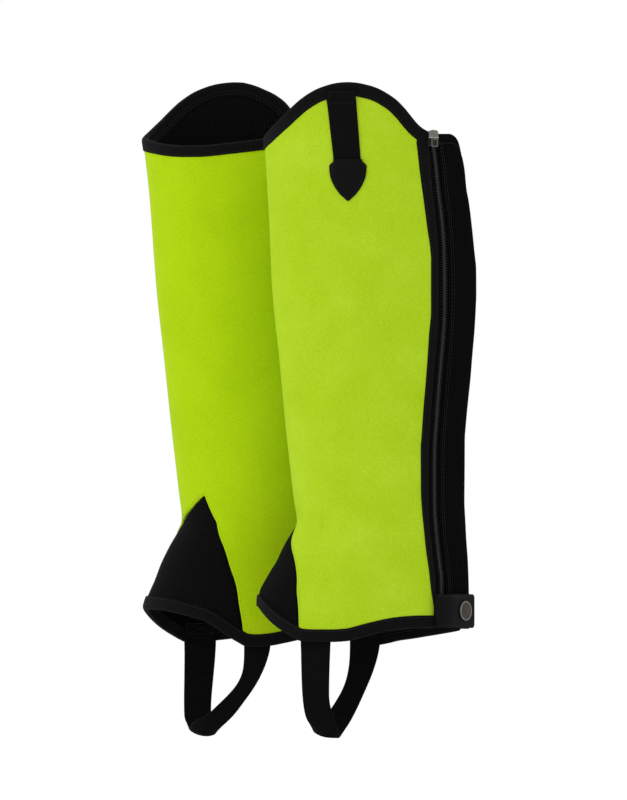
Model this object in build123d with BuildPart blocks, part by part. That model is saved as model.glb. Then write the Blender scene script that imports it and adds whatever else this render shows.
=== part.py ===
from build123d import *
import math
import os

# ---------------------------------------------------------------------------
# A pair of zip-up half chaps (leg gaiters worn over the boot shaft), mm, +Z up.
# The left gaiter stands about the Z axis: toe towards -X, heel towards +X, its
# outer (lateral) side towards -Y.  The right gaiter is its mirror image, beside
# it.  Origin: centre of the left gaiter's foot opening, at the rim's level.
# ---------------------------------------------------------------------------

# driving dimensions
PANEL_T = 3.0            # neoprene-backed suede-finish panel
LINING_T = 0.75          # jersey lining inside the panels
BINDING_PROUD = 0.8      # the folded binding stands this far outside the panel
BINDING_IN = 4.6         # and reaches this far inwards, over the lining
ELASTIC_T = 2.2          # ribbed stretch panel down the back of the calf
GUSSET_T = 2.4           # stretch gusset over the instep
BIND_W = 9.8             # visible width of the binding
STRAP_W = 22.6           # stirrup elastic, width
STRAP_T = 1.6            # stirrup elastic, thickness
STRAP_LOW = -74.0        # underside of the stirrup
WEB_T = 1.4              # top tab webbing
PATCH_T = 1.8            # leather spear patch
TAB_T = 1.8              # leather snap tab
CAP_R = 7.5              # press stud cap
GAP = 0.4                # clearance between pieces that move past each other
ZIP_TOP = (48.7, -33.3, 377.5)
ZIP_LOW = (52.9, -34.3, 21.0)
ZIP_SLOT = 5.5           # half the gap between binding and elastic at the zip
ROW = 1.6                # coil row, distance from the zip's centre line
ROW_R = 0.95             # coil row radius
SLIDER_L = 12.0
PULL_L = 7.6
PAIR_DX = -87.2          # right gaiter relative to the left one
PAIR_DY = 116.0
PAIR_LEAN = -0.7         # degrees, the right one leans a little to the toe side

# levels: height, front x, back x, half depth of the oval section
LEVELS = [
    (-19.0, -91.4, 74.0, 50.0),
    (12.0, -87.9, 74.0, 50.0),
    (30.2, -84.6, 74.0, 50.0),
    (45.3, -80.0, 74.0, 49.7),
    (60.4, -72.9, 74.0, 49.3),
    (75.5, -64.6, 73.2, 49.0),
    (92.1, -57.2, 71.8, 48.9),
    (112.0, -58.4, 71.0, 48.8),
    (140.0, -61.6, 71.0, 48.6),
    (181.2, -65.8, 73.2, 48.2),
    (218.9, -69.5, 77.2, 47.6),
    (256.7, -73.2, 79.3, 47.2),
    (294.4, -75.5, 78.5, 47.4),
    (332.2, -77.4, 74.7, 48.0),
    (369.9, -79.3, 68.0, 48.6),
    (407.7, -81.5, 61.9, 48.6),
    (430.4, -83.0, 58.9, 48.4),
]

# edge lines in side view (x, z)
DOME = [(-88.0, 376.0), (-84.6, 378.3), (-80.0, 381.3), (-74.0, 387.3), (-66.4, 394.9), (-59.6, 401.7),
        (-52.9, 407.7), (-46.8, 411.9), (-40.8, 415.2), (-34.7, 417.5), (-28.7, 419.2), (-22.6, 420.2),
        (-16.6, 420.5), (-10.6, 420.1), (-4.5, 419.0), (1.5, 417.5), (7.5, 415.2), (13.6, 411.8),
        (19.6, 407.7), (23.4, 404.2), (27.2, 400.1), (30.2, 396.4), (33.2, 392.6), (37.0, 388.4),
        (40.8, 385.1), (45.3, 382.4), (60.0, 382.4)]
MEDIAL_RIM = [(-95.0, 385.5), (-84.6, 382.0), (-79.3, 379.8), (-74.0, 377.5), (-66.4, 375.2), (-58.9, 373.7),
              (-48.3, 373.0), (-37.8, 373.0), (-26.4, 373.7), (-15.9, 374.8), (-3.0, 376.1), (9.8, 377.5),
              (23.4, 378.8), (37.8, 379.8), (52.9, 380.5), (95.0, 380.5)]
LATERAL_FOOT = [(-95.0, 28.5), (-84.6, 25.7), (-81.5, 21.1), (-77.0, 15.9), (-72.5, 11.7), (-68.0, 8.3),
                (-61.9, 4.5), (-57.4, 1.9), (-52.9, 0.0), (-40.8, -0.8), (-28.7, -0.8), (-16.6, 0.0),
                (-4.5, 3.0), (7.5, 6.0), (16.6, 7.9), (26.4, 9.1), (36.2, 9.7), (46.8, 9.8),
                (59.6, 9.4), (95.0, 8.7)]
MEDIAL_FOOT = [(-95.0, 28.5), (-84.6, 25.7), (-72.9, 24.5), (-64.9, 23.0), (-55.9, 20.8), (-46.1, 18.1),
               (-37.0, 15.1), (-30.2, 10.9), (-23.4, 6.0), (-18.1, 2.3), (-12.8, -0.8), (-6.8, -3.8),
               (2.3, -4.5), (12.1, -3.8), (22.6, -2.0), (32.5, 0.0), (46.1, 3.0), (59.6, 6.0), (95.0, 8.7)]
LIME_BACK = [(46.0, 400.0), (27.9, 386.6), (34.7, 377.5), (35.5, 369.9), (37.0, 354.9), (40.0, 332.2),
             (43.0, 309.6), (45.3, 294.4), (46.1, 286.9), (46.1, 249.2), (44.5, 230.3), (43.8, 218.9),
             (42.3, 196.3), (40.8, 177.4), (39.3, 154.8), (38.5, 143.4), (38.5, 113.2), (39.3, 98.2),
             (40.8, 83.0), (42.3, 68.0), (43.6, 52.9), (44.3, 37.8), (44.9, 22.6), (45.2, 18.9)]
LIME_FOOT = [(45.2, 18.9), (41.5, 18.9), (30.2, 18.1), (22.6, 17.0), (10.6, 14.7), (-2.3, 12.1),
             (-15.1, 9.8), (-27.9, 8.3), (-40.0, 7.5), (-50.6, 9.8), (-54.1, 15.1)]
GUSSET_MEDIAL = [(-54.0, 90.6), (-48.3, 98.2), (-42.3, 105.7), (-37.8, 108.7), (-33.2, 98.2), (-30.2, 90.6),
                 (-27.2, 83.0), (-24.9, 75.5), (-21.9, 68.0), (-19.6, 60.4), (-17.4, 52.9), (-15.1, 45.3),
                 (-12.8, 37.8), (-12.1, 30.2), (-10.6, 22.6), (-9.8, 15.1)]
GUSSET_LATERAL = [(-54.0, 90.6), (-57.4, 83.0), (-59.8, 77.0), (-57.6, 61.9), (-55.3, 43.0), (-54.1, 15.1)]
HINGE_TOP = (-38.5, -46.0, 420.5)      # fold line on which the outer panel opens
HINGE_LOW = (-24.2, -50.6, 0.0)


def at(points, x):
    """Height of a left-to-right edge line at x."""
    for (x0, z0), (x1, z1) in zip(points, points[1:]):
        if x0 <= x <= x1:
            return z0 + (z1 - z0) * (x - x0) / (x1 - x0)
    return points[-1][1] if x > points[-1][0] else points[0][1]


def level(z):
    """Front x, back x and half depth of the oval at height z."""
    for (z0, *a), (z1, *b) in zip(LEVELS, LEVELS[1:]):
        if z0 <= z <= z1:
            k = (z - z0) / (z1 - z0)
            return [p + (q - p) * k for p, q in zip(a, b)]
    return list(LEVELS[0][1:] if z < LEVELS[0][0] else LEVELS[-1][1:])


def fold_x(z):
    return HINGE_LOW[0] + (HINGE_TOP[0] - HINGE_LOW[0]) * z / HINGE_TOP[2]


def rings(outer, inner, start, end, low=-1e9, high=1e9):
    """Closed oval-sector sections of one layer, from offset outer to offset inner."""
    faces = []
    for z, front, back, depth in LEVELS:
        if not low <= z <= high:
            continue
        cx, rx = (front + back) / 2, (back - front) / 2
        with BuildSketch(Plane.XY.offset(z)) as ring:
            with BuildLine():
                o = EllipticalCenterArc((cx, 0), rx + outer, depth + outer, start, arc_size=end - start)
                i = EllipticalCenterArc((cx, 0), rx + inner, depth + inner, start, arc_size=end - start)
                Line(o @ 0, i @ 0)
                Line(o @ 1, i @ 1)
            make_face()
        faces.append(ring.sketch)
    return faces


def lower(points, drop):
    """An edge line moved square to itself, to its right-hand side."""
    out = []
    for n, (x, z) in enumerate(points):
        a, b = points[max(n - 1, 0)], points[min(n + 1, len(points) - 1)]
        d = math.hypot(b[0] - a[0], b[1] - a[1])
        out.append((x + (b[1] - a[1]) / d * drop, z - (b[0] - a[0]) / d * drop))
    return out


DOME_IN = lower(DOME, BIND_W)
RIM_IN = lower(MEDIAL_RIM, 6.0)
MEDIAL_FOOT_IN = lower(MEDIAL_FOOT, -8.5)
GUSSET_FOOT_LATERAL = [(x, z) for x, z in lower(LATERAL_FOOT, -8.5) if x < -56]

# zip frame: local x along the tape towards the heel, local y inwards, z up
ZIP_UP = Vector(*ZIP_TOP) - Vector(*ZIP_LOW)
ZIP_LEN = ZIP_UP.length
ZIP_T = Vector(0.83, 0.555, 0.0)
ZIP_X = (ZIP_T - ZIP_UP.normalized() * ZIP_T.dot(ZIP_UP.normalized())).normalized()
ZIP = Plane(origin=ZIP_LOW, x_dir=ZIP_X, z_dir=ZIP_UP.normalized())
SLIDER = ZIP.offset(ZIP_LEN - 4.5)          # lower end of the slider at rest


def prism(points, y0, y1):
    """A side-view outline pushed along Y from y0 to y1."""
    with BuildPart() as block:
        with BuildSketch(Plane.XZ.offset(-y0)):
            Polygon(*points, align=None)
        extrude(amount=-(y1 - y0))
    return block.part


def slab(x0, x1):
    """Everything between two distances from the zip's centre line."""
    with BuildPart() as block:
        with BuildSketch(ZIP.offset(-80)):
            with Locations(((x0 + x1) / 2, 0)):
                Rectangle(abs(x1 - x0), 400)
        extrude(amount=600)
    return block.part


fold_gap = GAP / 2

# side-view outlines ---------------------------------------------------------
lime_gusset = GUSSET_MEDIAL + [(-8.7, at(MEDIAL_FOOT_IN, -8.7))]
dome_front = [p for p in DOME_IN if p[0] < fold_x(p[1]) - 1]
dome_rear = [p for p in DOME_IN if p[0] > fold_x(p[1]) + 1 and p[0] < 27.0]
outer_lime = ([(fold_x(410.0) + fold_gap, 410.0)] + dome_rear + LIME_BACK[2:] + LIME_FOOT[1:7]
              + [(fold_x(8.0) + fold_gap, 8.0)])
outer_all = ([(fold_x(417.3) + fold_gap, 417.3)] + [p for p in DOME if p[0] > -36]
             + [(95.0, 382.4), (95.0, 8.7)] + [p for p in reversed(LATERAL_FOOT) if -22 < p[0] < 90]
             + [(fold_x(-0.6) + fold_gap, -0.6)])
nose_lime_lateral = ([(-95.0, 371.0), (-81.5, 371.0)] + [p for p in dome_front if p[0] > -77 and p[1] < 405]
                     + [(fold_x(409) - fold_gap, 409.0)]
                     + [(fold_x(8.0) - fold_gap, 8.0), (-40.0, 7.5), (-50.6, 9.8)]
                     + list(reversed(GUSSET_LATERAL)) + [(-95.0, 90.6)])
nose_all_lateral = ([(-95.0, 374.0)] + [p for p in DOME if p[0] < -39]
                    + [(fold_x(416.2) - fold_gap, 416.2), (fold_x(-0.8) - fold_gap, -0.8)]
                    + [p for p in reversed(LATERAL_FOOT) if p[0] < -27])
heel_line = [(b - 8.0, z) for z, f, b, d in LEVELS]
heel_medial = [p for p in reversed(heel_line) if p[1] < 381.0] + [(66.0, -19.0)]
inner_lime_medial = ([(-95.0, 371.0), (-81.5, 371.0)] + [p for p in RIM_IN if -77 < p[0] < 57] + [(58.3, 374.6)]
                     + [p for p in heel_medial if 12.0 < p[1] < 374.0] + [(66.0, 15.0)]
                     + [p for p in reversed(MEDIAL_FOOT_IN) if -8.0 < p[0] < 66]
                     + list(reversed(lime_gusset)) + [(-95.0, 90.6)])
inner_all_medial = ([(-95.0, 374.0), (-86.0, 377.5)] + [p for p in MEDIAL_RIM if -80 < p[0] < 58] + [(59.2, 380.5)] + [p for p in heel_medial if 7.0 < p[1] < 376]
                    + [(66.0, 7.0)] + [p for p in reversed(MEDIAL_FOOT) if p[0] < 60])
gusset_medial = ([(-95.0, 90.6)] + lime_gusset + [p for p in reversed(MEDIAL_FOOT_IN) if p[0] < -9.5])
gusset_lateral = ([(-95.0, 90.6)] + GUSSET_LATERAL + list(reversed(GUSSET_FOOT_LATERAL)) + [(-95.0, 37.0)])

# ===========================================================================
# LEFT GAITER, pieces that stay with the inner side
# ===========================================================================
lateral_nose = prism(nose_lime_lateral, -90, 0)
medial_lime = prism(inner_lime_medial, 0, 90)
lateral_nose_all = prism(nose_all_lateral, -90, 0)
medial_all = prism(inner_all_medial, 0, 90)
body_lime = lateral_nose + medial_lime
body_all = lateral_nose_all + medial_all
gusset_zone = prism(gusset_lateral, -90, 0) + prism(gusset_medial, 0, 90)

with BuildPart() as left_inner_panel:
    loft(rings(0, -PANEL_T, 12, 262))
    add(body_lime, mode=Mode.INTERSECT)
left_inner_panel.part.label = "left_inner_panel"

with BuildPart() as left_inner_lining:
    loft(rings(-PANEL_T - 0.05, -PANEL_T - LINING_T, 12, 262))
    add(body_lime, mode=Mode.INTERSECT)
left_inner_lining.part.label = "left_inner_lining"

with BuildPart() as left_instep_gusset:
    loft(rings(-0.1, -GUSSET_T, 80, 262, high=141))
    add(gusset_zone, mode=Mode.INTERSECT)
left_instep_gusset.part.label = "left_instep_gusset"

with BuildPart() as left_inner_top_binding:
    loft(rings(BINDING_PROUD, -BINDING_IN, 8, 266, low=250))
    add(body_all, mode=Mode.INTERSECT)
    add(body_lime, mode=Mode.SUBTRACT)
    split(bisect_by=Plane.XY.offset(330), keep=Keep.TOP)
left_inner_top_binding.part.label = "left_inner_top_binding"

with BuildPart() as left_inner_foot_binding:
    loft(rings(BINDING_PROUD, -BINDING_IN, 8, 266, high=141))
    add(body_all, mode=Mode.INTERSECT)
    add(body_lime, mode=Mode.SUBTRACT)
    add(gusset_zone, mode=Mode.SUBTRACT)
    split(bisect_by=Plane.XY.offset(60), keep=Keep.BOTTOM)
left_inner_foot_binding.part.label = "left_inner_foot_binding"


# stretch panel down the back, from the zip round the heel side to the inner side
back_lateral = [(20.0, 382.4), (61.9, 382.4), (65.0, 380.6), (67.5, 377.0), (95.0, 377.0), (95.0, 8.8), (59.6, 9.4),
                (20.0, 9.4)]
back_medial = ([(59.4, 380.4), (63.5, 379.6), (67.5, 377.0), (95.0, 377.0), (95.0, 7.0), (66.0, 7.0)]
               + [p for p in reversed(heel_medial) if 7.5 < p[1] < 376])
# zip: tapes, coil rows, stops, retainer box ---------------------------------
with BuildPart() as left_zip_row_rear:
    with BuildSketch(ZIP):
        with Locations((ROW, -0.45)):
            Circle(ROW_R)
    extrude(amount=ZIP_LEN)
left_zip_row_rear.part.label = "left_zip_row_rear"

with BuildPart() as left_zip_stop_rear:
    with BuildSketch(ZIP.offset(ZIP_LEN + 0.2)):
        with Locations((ROW, -0.45)):
            RectangleRounded(2.0, 1.9, 0.4)
    extrude(amount=2.2)
left_zip_stop_rear.part.label = "left_zip_stop_rear"

with BuildPart() as left_zip_box:
    with BuildSketch(ZIP.offset(-7.2)):
        with Locations((1.8, -0.1)):
            Rectangle(4.6, 3.6)
    extrude(amount=7.0)
    with BuildSketch(ZIP.offset(-7.2)):
        with Locations((-1.9, -0.75)):
            Rectangle(3.0, 2.3)
    extrude(amount=0.6)
left_zip_box.part.label = "left_zip_box"

with BuildPart() as left_zip_tape_rear:
    with BuildSketch(ZIP.offset(-7.5)):
        with Locations(((0.6 + ZIP_SLOT) / 2, 0.9)):
            Rectangle(ZIP_SLOT - 0.6, 0.8)
    extrude(amount=ZIP_LEN + 12)
    add(left_zip_box.part, mode=Mode.SUBTRACT)
left_zip_tape_rear.part.label = "left_zip_tape_rear"

# press stud: direction square to the snap tab at the stud
STUD_AT = Vector(71.4, -18.8, 22.0)
STUD_N = Vector(0.82, -0.572, 0.0).normalized()
STUD = Plane(origin=STUD_AT, x_dir=(0, 0, 1), z_dir=STUD_N)

with BuildPart() as left_snap_stud:
    with BuildSketch(STUD.offset(-6.6)):
        Circle(4.6)
    extrude(amount=0.9)
    with BuildSketch(STUD.offset(-6.0)):
        Circle(1.6)
    extrude(amount=4.7)
left_snap_stud.part.label = "left_snap_stud"

with BuildPart() as left_back_elastic:
    loft(rings(0, -ELASTIC_T, -62, 45))
    add(prism(back_lateral, -90, 0) + prism(back_medial, 0, 90), mode=Mode.INTERSECT)
    add(slab(-200, ZIP_SLOT), mode=Mode.SUBTRACT)
    add(left_snap_stud.part, mode=Mode.SUBTRACT)
left_back_elastic.part.label = "left_back_elastic"

# ===========================================================================
# LEFT GAITER, pieces that open with the outer side
# ===========================================================================
front_of_zip = slab(-200, -ZIP_SLOT)
outer_lime_zone = prism(outer_lime, -90, -4)
with BuildPart() as left_outer_panel:
    loft(rings(0, -PANEL_T, 215, 342))
    add(outer_lime_zone, mode=Mode.INTERSECT)
    add(front_of_zip, mode=Mode.INTERSECT)
left_outer_panel.part.label = "left_outer_panel"

with BuildPart() as left_outer_lining:
    loft(rings(-PANEL_T - 0.05, -PANEL_T - LINING_T, 215, 342))
    add(outer_lime_zone, mode=Mode.INTERSECT)
    add(front_of_zip, mode=Mode.INTERSECT)
left_outer_lining.part.label = "left_outer_lining"

with BuildPart() as left_outer_binding:
    loft(rings(BINDING_PROUD, -BINDING_IN, 212, 345))
    add(prism(outer_all, -90, -4), mode=Mode.INTERSECT)
    add(outer_lime_zone, mode=Mode.SUBTRACT)
    add(front_of_zip, mode=Mode.INTERSECT)
left_outer_binding.part.label = "left_outer_binding"

with BuildPart() as left_zip_tape_front:
    with BuildSketch(ZIP.offset(-7.5)):
        with Locations((-(0.6 + ZIP_SLOT) / 2, 0.9)):
            Rectangle(ZIP_SLOT - 0.6, 0.8)
    extrude(amount=ZIP_LEN + 12)
left_zip_tape_front.part.label = "left_zip_tape_front"

with BuildPart() as left_zip_row_front:
    with BuildSketch(ZIP):
        with Locations((-ROW, -0.45)):
            Circle(ROW_R)
    extrude(amount=ZIP_LEN)
left_zip_row_front.part.label = "left_zip_row_front"

with BuildPart() as left_zip_stop_front:
    with BuildSketch(ZIP.offset(ZIP_LEN + 0.2)):
        with Locations((-ROW, -0.45)):
            RectangleRounded(2.0, 1.9, 0.4)
    extrude(amount=2.2)
left_zip_stop_front.part.label = "left_zip_stop_front"

with BuildPart() as left_zip_pin:
    with BuildSketch(ZIP.offset(-6.4)):
        with Locations((-ROW, -0.45)):
            Circle(0.75)
    extrude(amount=6.3)
left_zip_pin.part.label = "left_zip_pin"

# elastic tab from the top edge, and the spear-shaped leather patch over its end
web = [(-33.4, 414.5), (-32.0, 408.0), (-30.6, 392.0), (-27.6, 362.4), (-7.2, 362.4), (-8.6, 380.0), (-10.4, 407.0),
       (-10.9, 416.5), (-22.0, 416.5)]
patch = [(-28.6, 361.8), (-30.8, 358.9), (-31.0, 354.0), (-27.9, 346.5), (-23.0, 338.0), (-18.6, 332.2),
         (-16.2, 330.6), (-13.8, 332.2), (-9.6, 338.0), (-5.2, 346.5), (-2.3, 354.0), (-2.4, 358.9), (-5.0, 361.8)]
with BuildPart() as left_top_tab:
    loft(rings(WEB_T + BINDING_PROUD, BINDING_PROUD + 0.05, 225, 300, low=290))
    add(prism(web, -90, -4), mode=Mode.INTERSECT)
left_top_tab.part.label = "left_top_tab"

with BuildPart() as left_spear_patch:
    loft(rings(PATCH_T, 0.05, 225, 300, low=290))
    add(prism(patch, -90, -4), mode=Mode.INTERSECT)
left_spear_patch.part.label = "left_spear_patch"

# slider and pull ------------------------------------------------------------
with BuildPart() as left_slider:
    with BuildSketch(SLIDER) as plates:
        with Locations((0, -2.55)):
            Rectangle(6.6, 1.3)
        with Locations((0, 2.3)):
            Rectangle(6.6, 1.1)
    extrude(amount=SLIDER_L)
    with BuildSketch(SLIDER.offset(5.0)):
        with Locations((0, -2.55)):
            Rectangle(8.6, 1.3)
        with Locations((0, 2.3)):
            Rectangle(8.6, 1.1)
        with Locations((3.85, -1.35), (-3.85, -1.35)):
            Rectangle(0.9, 1.3)
    extrude(amount=SLIDER_L - 5.0)
    with BuildSketch(SLIDER.offset(7.0)):
        with Locations((0, -0.05)):
            Rectangle(0.5, 4.2)
    extrude(amount=SLIDER_L - 7.0)
    with BuildSketch(SLIDER.offset(2.6)):
        with Locations((0, -4.45)):
            Rectangle(1.8, 2.7)
    extrude(amount=5.4)
    with BuildSketch(SLIDER.offset(3.6)):
        with Locations((0, -3.95)):
            Rectangle(3.0, 1.7)
    extrude(amount=3.4, mode=Mode.SUBTRACT)
left_slider.part.label = "left_slider"

PIVOT = SLIDER.offset(5.3)                  # pull's cross bar, along the zip frame's x
with BuildPart() as left_pull_tab:
    with BuildSketch(SLIDER.offset(5.3 - PULL_L)):
        with Locations((0, -3.95)):
            RectangleRounded(5.2, 0.9, 0.3)
    extrude(amount=PULL_L + 0.5)
    with BuildSketch(SLIDER.offset(5.3 - 3.8)):
        with Locations((0, -3.95)):
            Rectangle(2.6, 3.0)
    extrude(amount=3.8 - 0.45, mode=Mode.SUBTRACT)
    with BuildSketch(SLIDER.offset(5.3 + 0.45)):
        with Locations((0, -3.95)):
            Rectangle(9, 3.0)
    extrude(amount=3.0, mode=Mode.SUBTRACT)
left_pull_tab.part.label = "left_pull_tab"

# snap tab and the two halves of the press stud that it carries --------------
TAB_PATH = [(49.4, -40.6), (52.4, -39.2), (56.6, -36.5), (60.4, -33.4), (68.4, -22.9), (71.4, -18.8), (77.2, -10.6)]
with BuildPart() as left_snap_tab:
    with BuildSketch(Plane.XY.offset(9.0)):
        with BuildLine():
            mid = Spline(*TAB_PATH, mode=Mode.PRIVATE)
            o = Spline(*[mid.position_at(k / 12) + mid.tangent_at(k / 12).rotate(Axis.Z, -90) * (TAB_T / 2)
                         for k in range(13)])
            i = Spline(*[mid.position_at(k / 12) - mid.tangent_at(k / 12).rotate(Axis.Z, -90) * (TAB_T / 2)
                         for k in range(13)])
            Line(o @ 0, i @ 0)
            Line(o @ 1, i @ 1)
        make_face()
    extrude(amount=25.6)
left_snap_tab.part.label = "left_snap_tab"

with BuildPart() as left_snap_cap:
    with BuildSketch(STUD.offset(TAB_T / 2 + 0.02)):
        Circle(CAP_R)
    extrude(amount=1.5)
    fillet(left_snap_cap.edges().group_by(Axis(STUD_AT, STUD_N))[-1], 1.2)
left_snap_cap.part.label = "left_snap_cap"

with BuildPart() as left_snap_socket:
    with BuildSketch(STUD.offset(-TAB_T / 2 - 0.02)):
        Circle(4.8)
        Circle(2.5, mode=Mode.SUBTRACT)
    extrude(amount=-0.9)
left_snap_socket.part.label = "left_snap_socket"

# stirrup elastic ------------------------------------------------------------
EXIT_OUT = (-41.0, -41.6, 3.0)              # where the loop leaves the outer side
EXIT_IN = (-4.4, 42.6, 3.0)                 # and the inner side
SWING_R = 15.6                              # the ends are sewn down inside this radius
swing = Plane(origin=((EXIT_OUT[0] + EXIT_IN[0]) / 2, (EXIT_OUT[1] + EXIT_IN[1]) / 2, 3.0), x_dir=(0, 0, 1),
              z_dir=(EXIT_IN[0] - EXIT_OUT[0], EXIT_IN[1] - EXIT_OUT[1], 0))
loop_out = [(-52.6, 24.0), (-52.4, -7.0), (-51.6, -30.0), (-50.6, -46.0), (-49.2, -54.0), (-47.8, -62.0),
            (-44.5, -69.0), (-41.0, -80.0), (-17.0, -80.0), (-19.0, -70.0), (-27.0, -53.0), (-30.6, -45.5),
            (-30.2, -22.0), (-29.6, -7.0), (-29.4, 24.0)]
loop_in = [(-16.0, 24.0), (-15.6, -5.0), (-16.5, -16.0), (-19.0, -32.0), (-22.5, -42.0), (-27.0, -50.0),
           (-36.0, -62.0), (-45.5, -68.0), (-42.0, -80.0), (-17.0, -80.0), (-12.6, -62.0), (-7.6, -50.0),
           (-3.4, -38.0), (1.2, -24.0), (4.8, -8.0), (6.8, 24.0)]
with BuildPart() as loop_form:
    with BuildSketch(Plane.YZ.offset(-60)):
        with BuildLine():
            FilletPolyline((-41.6, 24), (-41.6, -18), (-33.5, -58), (-14, STRAP_LOW + STRAP_T / 2),
                           (14, STRAP_LOW + STRAP_T / 2), (34.0, -58), (42.6, -18), (42.6, 24), radius=(30, 30, 18, 18, 30, 30))
            offset(amount=STRAP_T / 2, side=Side.BOTH)
        make_face()
    extrude(amount=75)
with BuildPart() as swing_core:
    with BuildSketch(swing.offset(-80)):
        Circle(SWING_R)
    extrude(amount=160)
with BuildPart() as swing_clear:
    with BuildSketch(swing.offset(-80)):
        Circle(SWING_R + GAP)
    extrude(amount=160)
loop_zone = prism(loop_out, -60, 0) + prism(loop_in, 0, 60)
below = (prism([(-60, -1.3), (20, -1.3), (20, -90), (-60, -90)], -60, 0)
         + prism([(-60, -5.0), (20, -5.0), (20, -90), (-60, -90)], 0, 60))
sewn = (prism([(-52.5, -8.0), (-29.4, -8.0), (-29.4, 21.0), (-52.5, 21.0)], -60, 0)
        + prism([(-15.7, -8.0), (6.2, -8.0), (6.2, 21.0), (-15.7, 21.0)], 0, 60))

with BuildPart() as left_stirrup:
    add(loop_form.part)
    add(loop_zone, mode=Mode.INTERSECT)
    add(swing_clear.part, mode=Mode.SUBTRACT)
    add(prism([(-60, 3), (20, 3), (20, 30), (-60, 30)], -60, 60), mode=Mode.SUBTRACT)
left_stirrup.part.label = "left_stirrup"

with BuildPart() as sewn_ends:
    loft(rings(-BINDING_IN - 0.45, -BINDING_IN - 2.6, 60, 262, high=61))
    add(sewn, mode=Mode.INTERSECT)

with BuildPart() as left_stirrup_ends:
    add(loop_form.part)
    add(loop_zone, mode=Mode.INTERSECT)
    add(swing_core.part, mode=Mode.INTERSECT)
    add(below, mode=Mode.INTERSECT)
    add(sewn_ends.part)
left_stirrup_ends.part.label = "left_stirrup_ends"

# ===========================================================================
# RIGHT GAITER: the mirror image, set beside the left one
# ===========================================================================
pieces = [left_inner_panel, left_inner_lining, left_instep_gusset, left_inner_top_binding, left_inner_foot_binding,
          left_back_elastic, left_zip_tape_rear, left_zip_row_rear, left_zip_stop_rear, left_zip_box, left_snap_stud,
          left_outer_panel, left_outer_lining, left_outer_binding, left_zip_tape_front, left_zip_row_front,
          left_zip_stop_front, left_zip_pin, left_top_tab, left_spear_patch, left_slider, left_pull_tab,
          left_snap_tab, left_snap_cap, left_snap_socket, left_stirrup, left_stirrup_ends]
os.makedirs("parts", exist_ok=True)
for piece in pieces:
    export_step(piece.part, f"parts/{piece.part.label}.step")
    box = piece.part.bounding_box()
    print(piece.part.label, round(piece.part.volume, 1), len(piece.part.solids()),
          [round(v, 1) for v in (*box.min, *box.max)])
    with BuildPart() as twin:
        add(mirror(piece.part, about=Plane.XZ, mode=Mode.PRIVATE).moved(Location((PAIR_DX, PAIR_DY, 0), (0, PAIR_LEAN, 0))))
    twin.part.label = piece.part.label.replace("left_", "right_")
    export_step(twin.part, f"parts/{twin.part.label}.step")
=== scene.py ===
import bpy
import bmesh
import math
import numpy as np
from mathutils import Vector, Matrix


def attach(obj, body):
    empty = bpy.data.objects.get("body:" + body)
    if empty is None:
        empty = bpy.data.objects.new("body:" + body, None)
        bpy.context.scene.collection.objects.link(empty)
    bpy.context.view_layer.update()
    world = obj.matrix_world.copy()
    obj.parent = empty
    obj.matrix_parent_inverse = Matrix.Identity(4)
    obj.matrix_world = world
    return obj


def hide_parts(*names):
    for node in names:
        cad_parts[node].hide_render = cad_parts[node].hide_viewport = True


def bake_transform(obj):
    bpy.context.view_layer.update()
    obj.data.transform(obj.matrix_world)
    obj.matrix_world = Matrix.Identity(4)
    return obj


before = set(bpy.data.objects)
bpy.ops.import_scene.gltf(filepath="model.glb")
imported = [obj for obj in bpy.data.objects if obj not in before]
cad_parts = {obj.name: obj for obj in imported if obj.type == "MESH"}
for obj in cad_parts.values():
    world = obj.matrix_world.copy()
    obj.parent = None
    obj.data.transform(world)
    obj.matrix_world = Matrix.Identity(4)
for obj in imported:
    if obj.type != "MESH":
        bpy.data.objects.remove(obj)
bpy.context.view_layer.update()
MM = 0.001

# --------------------------------------------------------------------------
# curves
# --------------------------------------------------------------------------


def pchip(points):
    """Smooth curve through (x, y) points that never overshoots them."""
    p = np.array(sorted(points), float)
    x, y = p[:, 0], p[:, 1]
    h = np.diff(x)
    d = np.diff(y) / h
    m = np.zeros(len(x))
    m[0], m[-1] = d[0], d[-1]
    for i in range(1, len(x) - 1):
        if d[i - 1] * d[i] > 0:
            w1, w2 = 2 * h[i] + h[i - 1], h[i] + 2 * h[i - 1]
            m[i] = (w1 + w2) / (w1 / d[i - 1] + w2 / d[i])

    def f(q):
        q = np.asarray(q, float)
        c = np.clip(q, x[0], x[-1])
        i = np.clip(np.searchsorted(x, c, side="right") - 1, 0, len(h) - 1)
        t = (c - x[i]) / h[i]
        a = (1 + 2 * t) * (1 - t) ** 2 * y[i] + t * (1 - t) ** 2 * h[i] * m[i]
        b = t * t * (3 - 2 * t) * y[i + 1] + t * t * (t - 1) * h[i] * m[i + 1]
        return a + b + np.where(q < x[0], (q - x[0]) * m[0], 0) + np.where(q > x[-1], (q - x[-1]) * m[-1], 0)

    return f


def smooth_path(points, n):
    """n points evenly along a smooth curve through the given ones."""
    p = np.array(points, float)
    s = np.concatenate([[0], np.cumsum(np.linalg.norm(np.diff(p, axis=0), axis=1))])
    q = np.linspace(0, s[-1], n * 4)
    out = np.stack([pchip(list(zip(s, p[:, k])))(q) for k in range(p.shape[1])], 1)
    t = np.concatenate([[0], np.cumsum(np.linalg.norm(np.diff(out, axis=0), axis=1))])
    return np.stack([np.interp(np.linspace(0, t[-1], n), t, out[:, k]) for k in range(p.shape[1])], 1)


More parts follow.
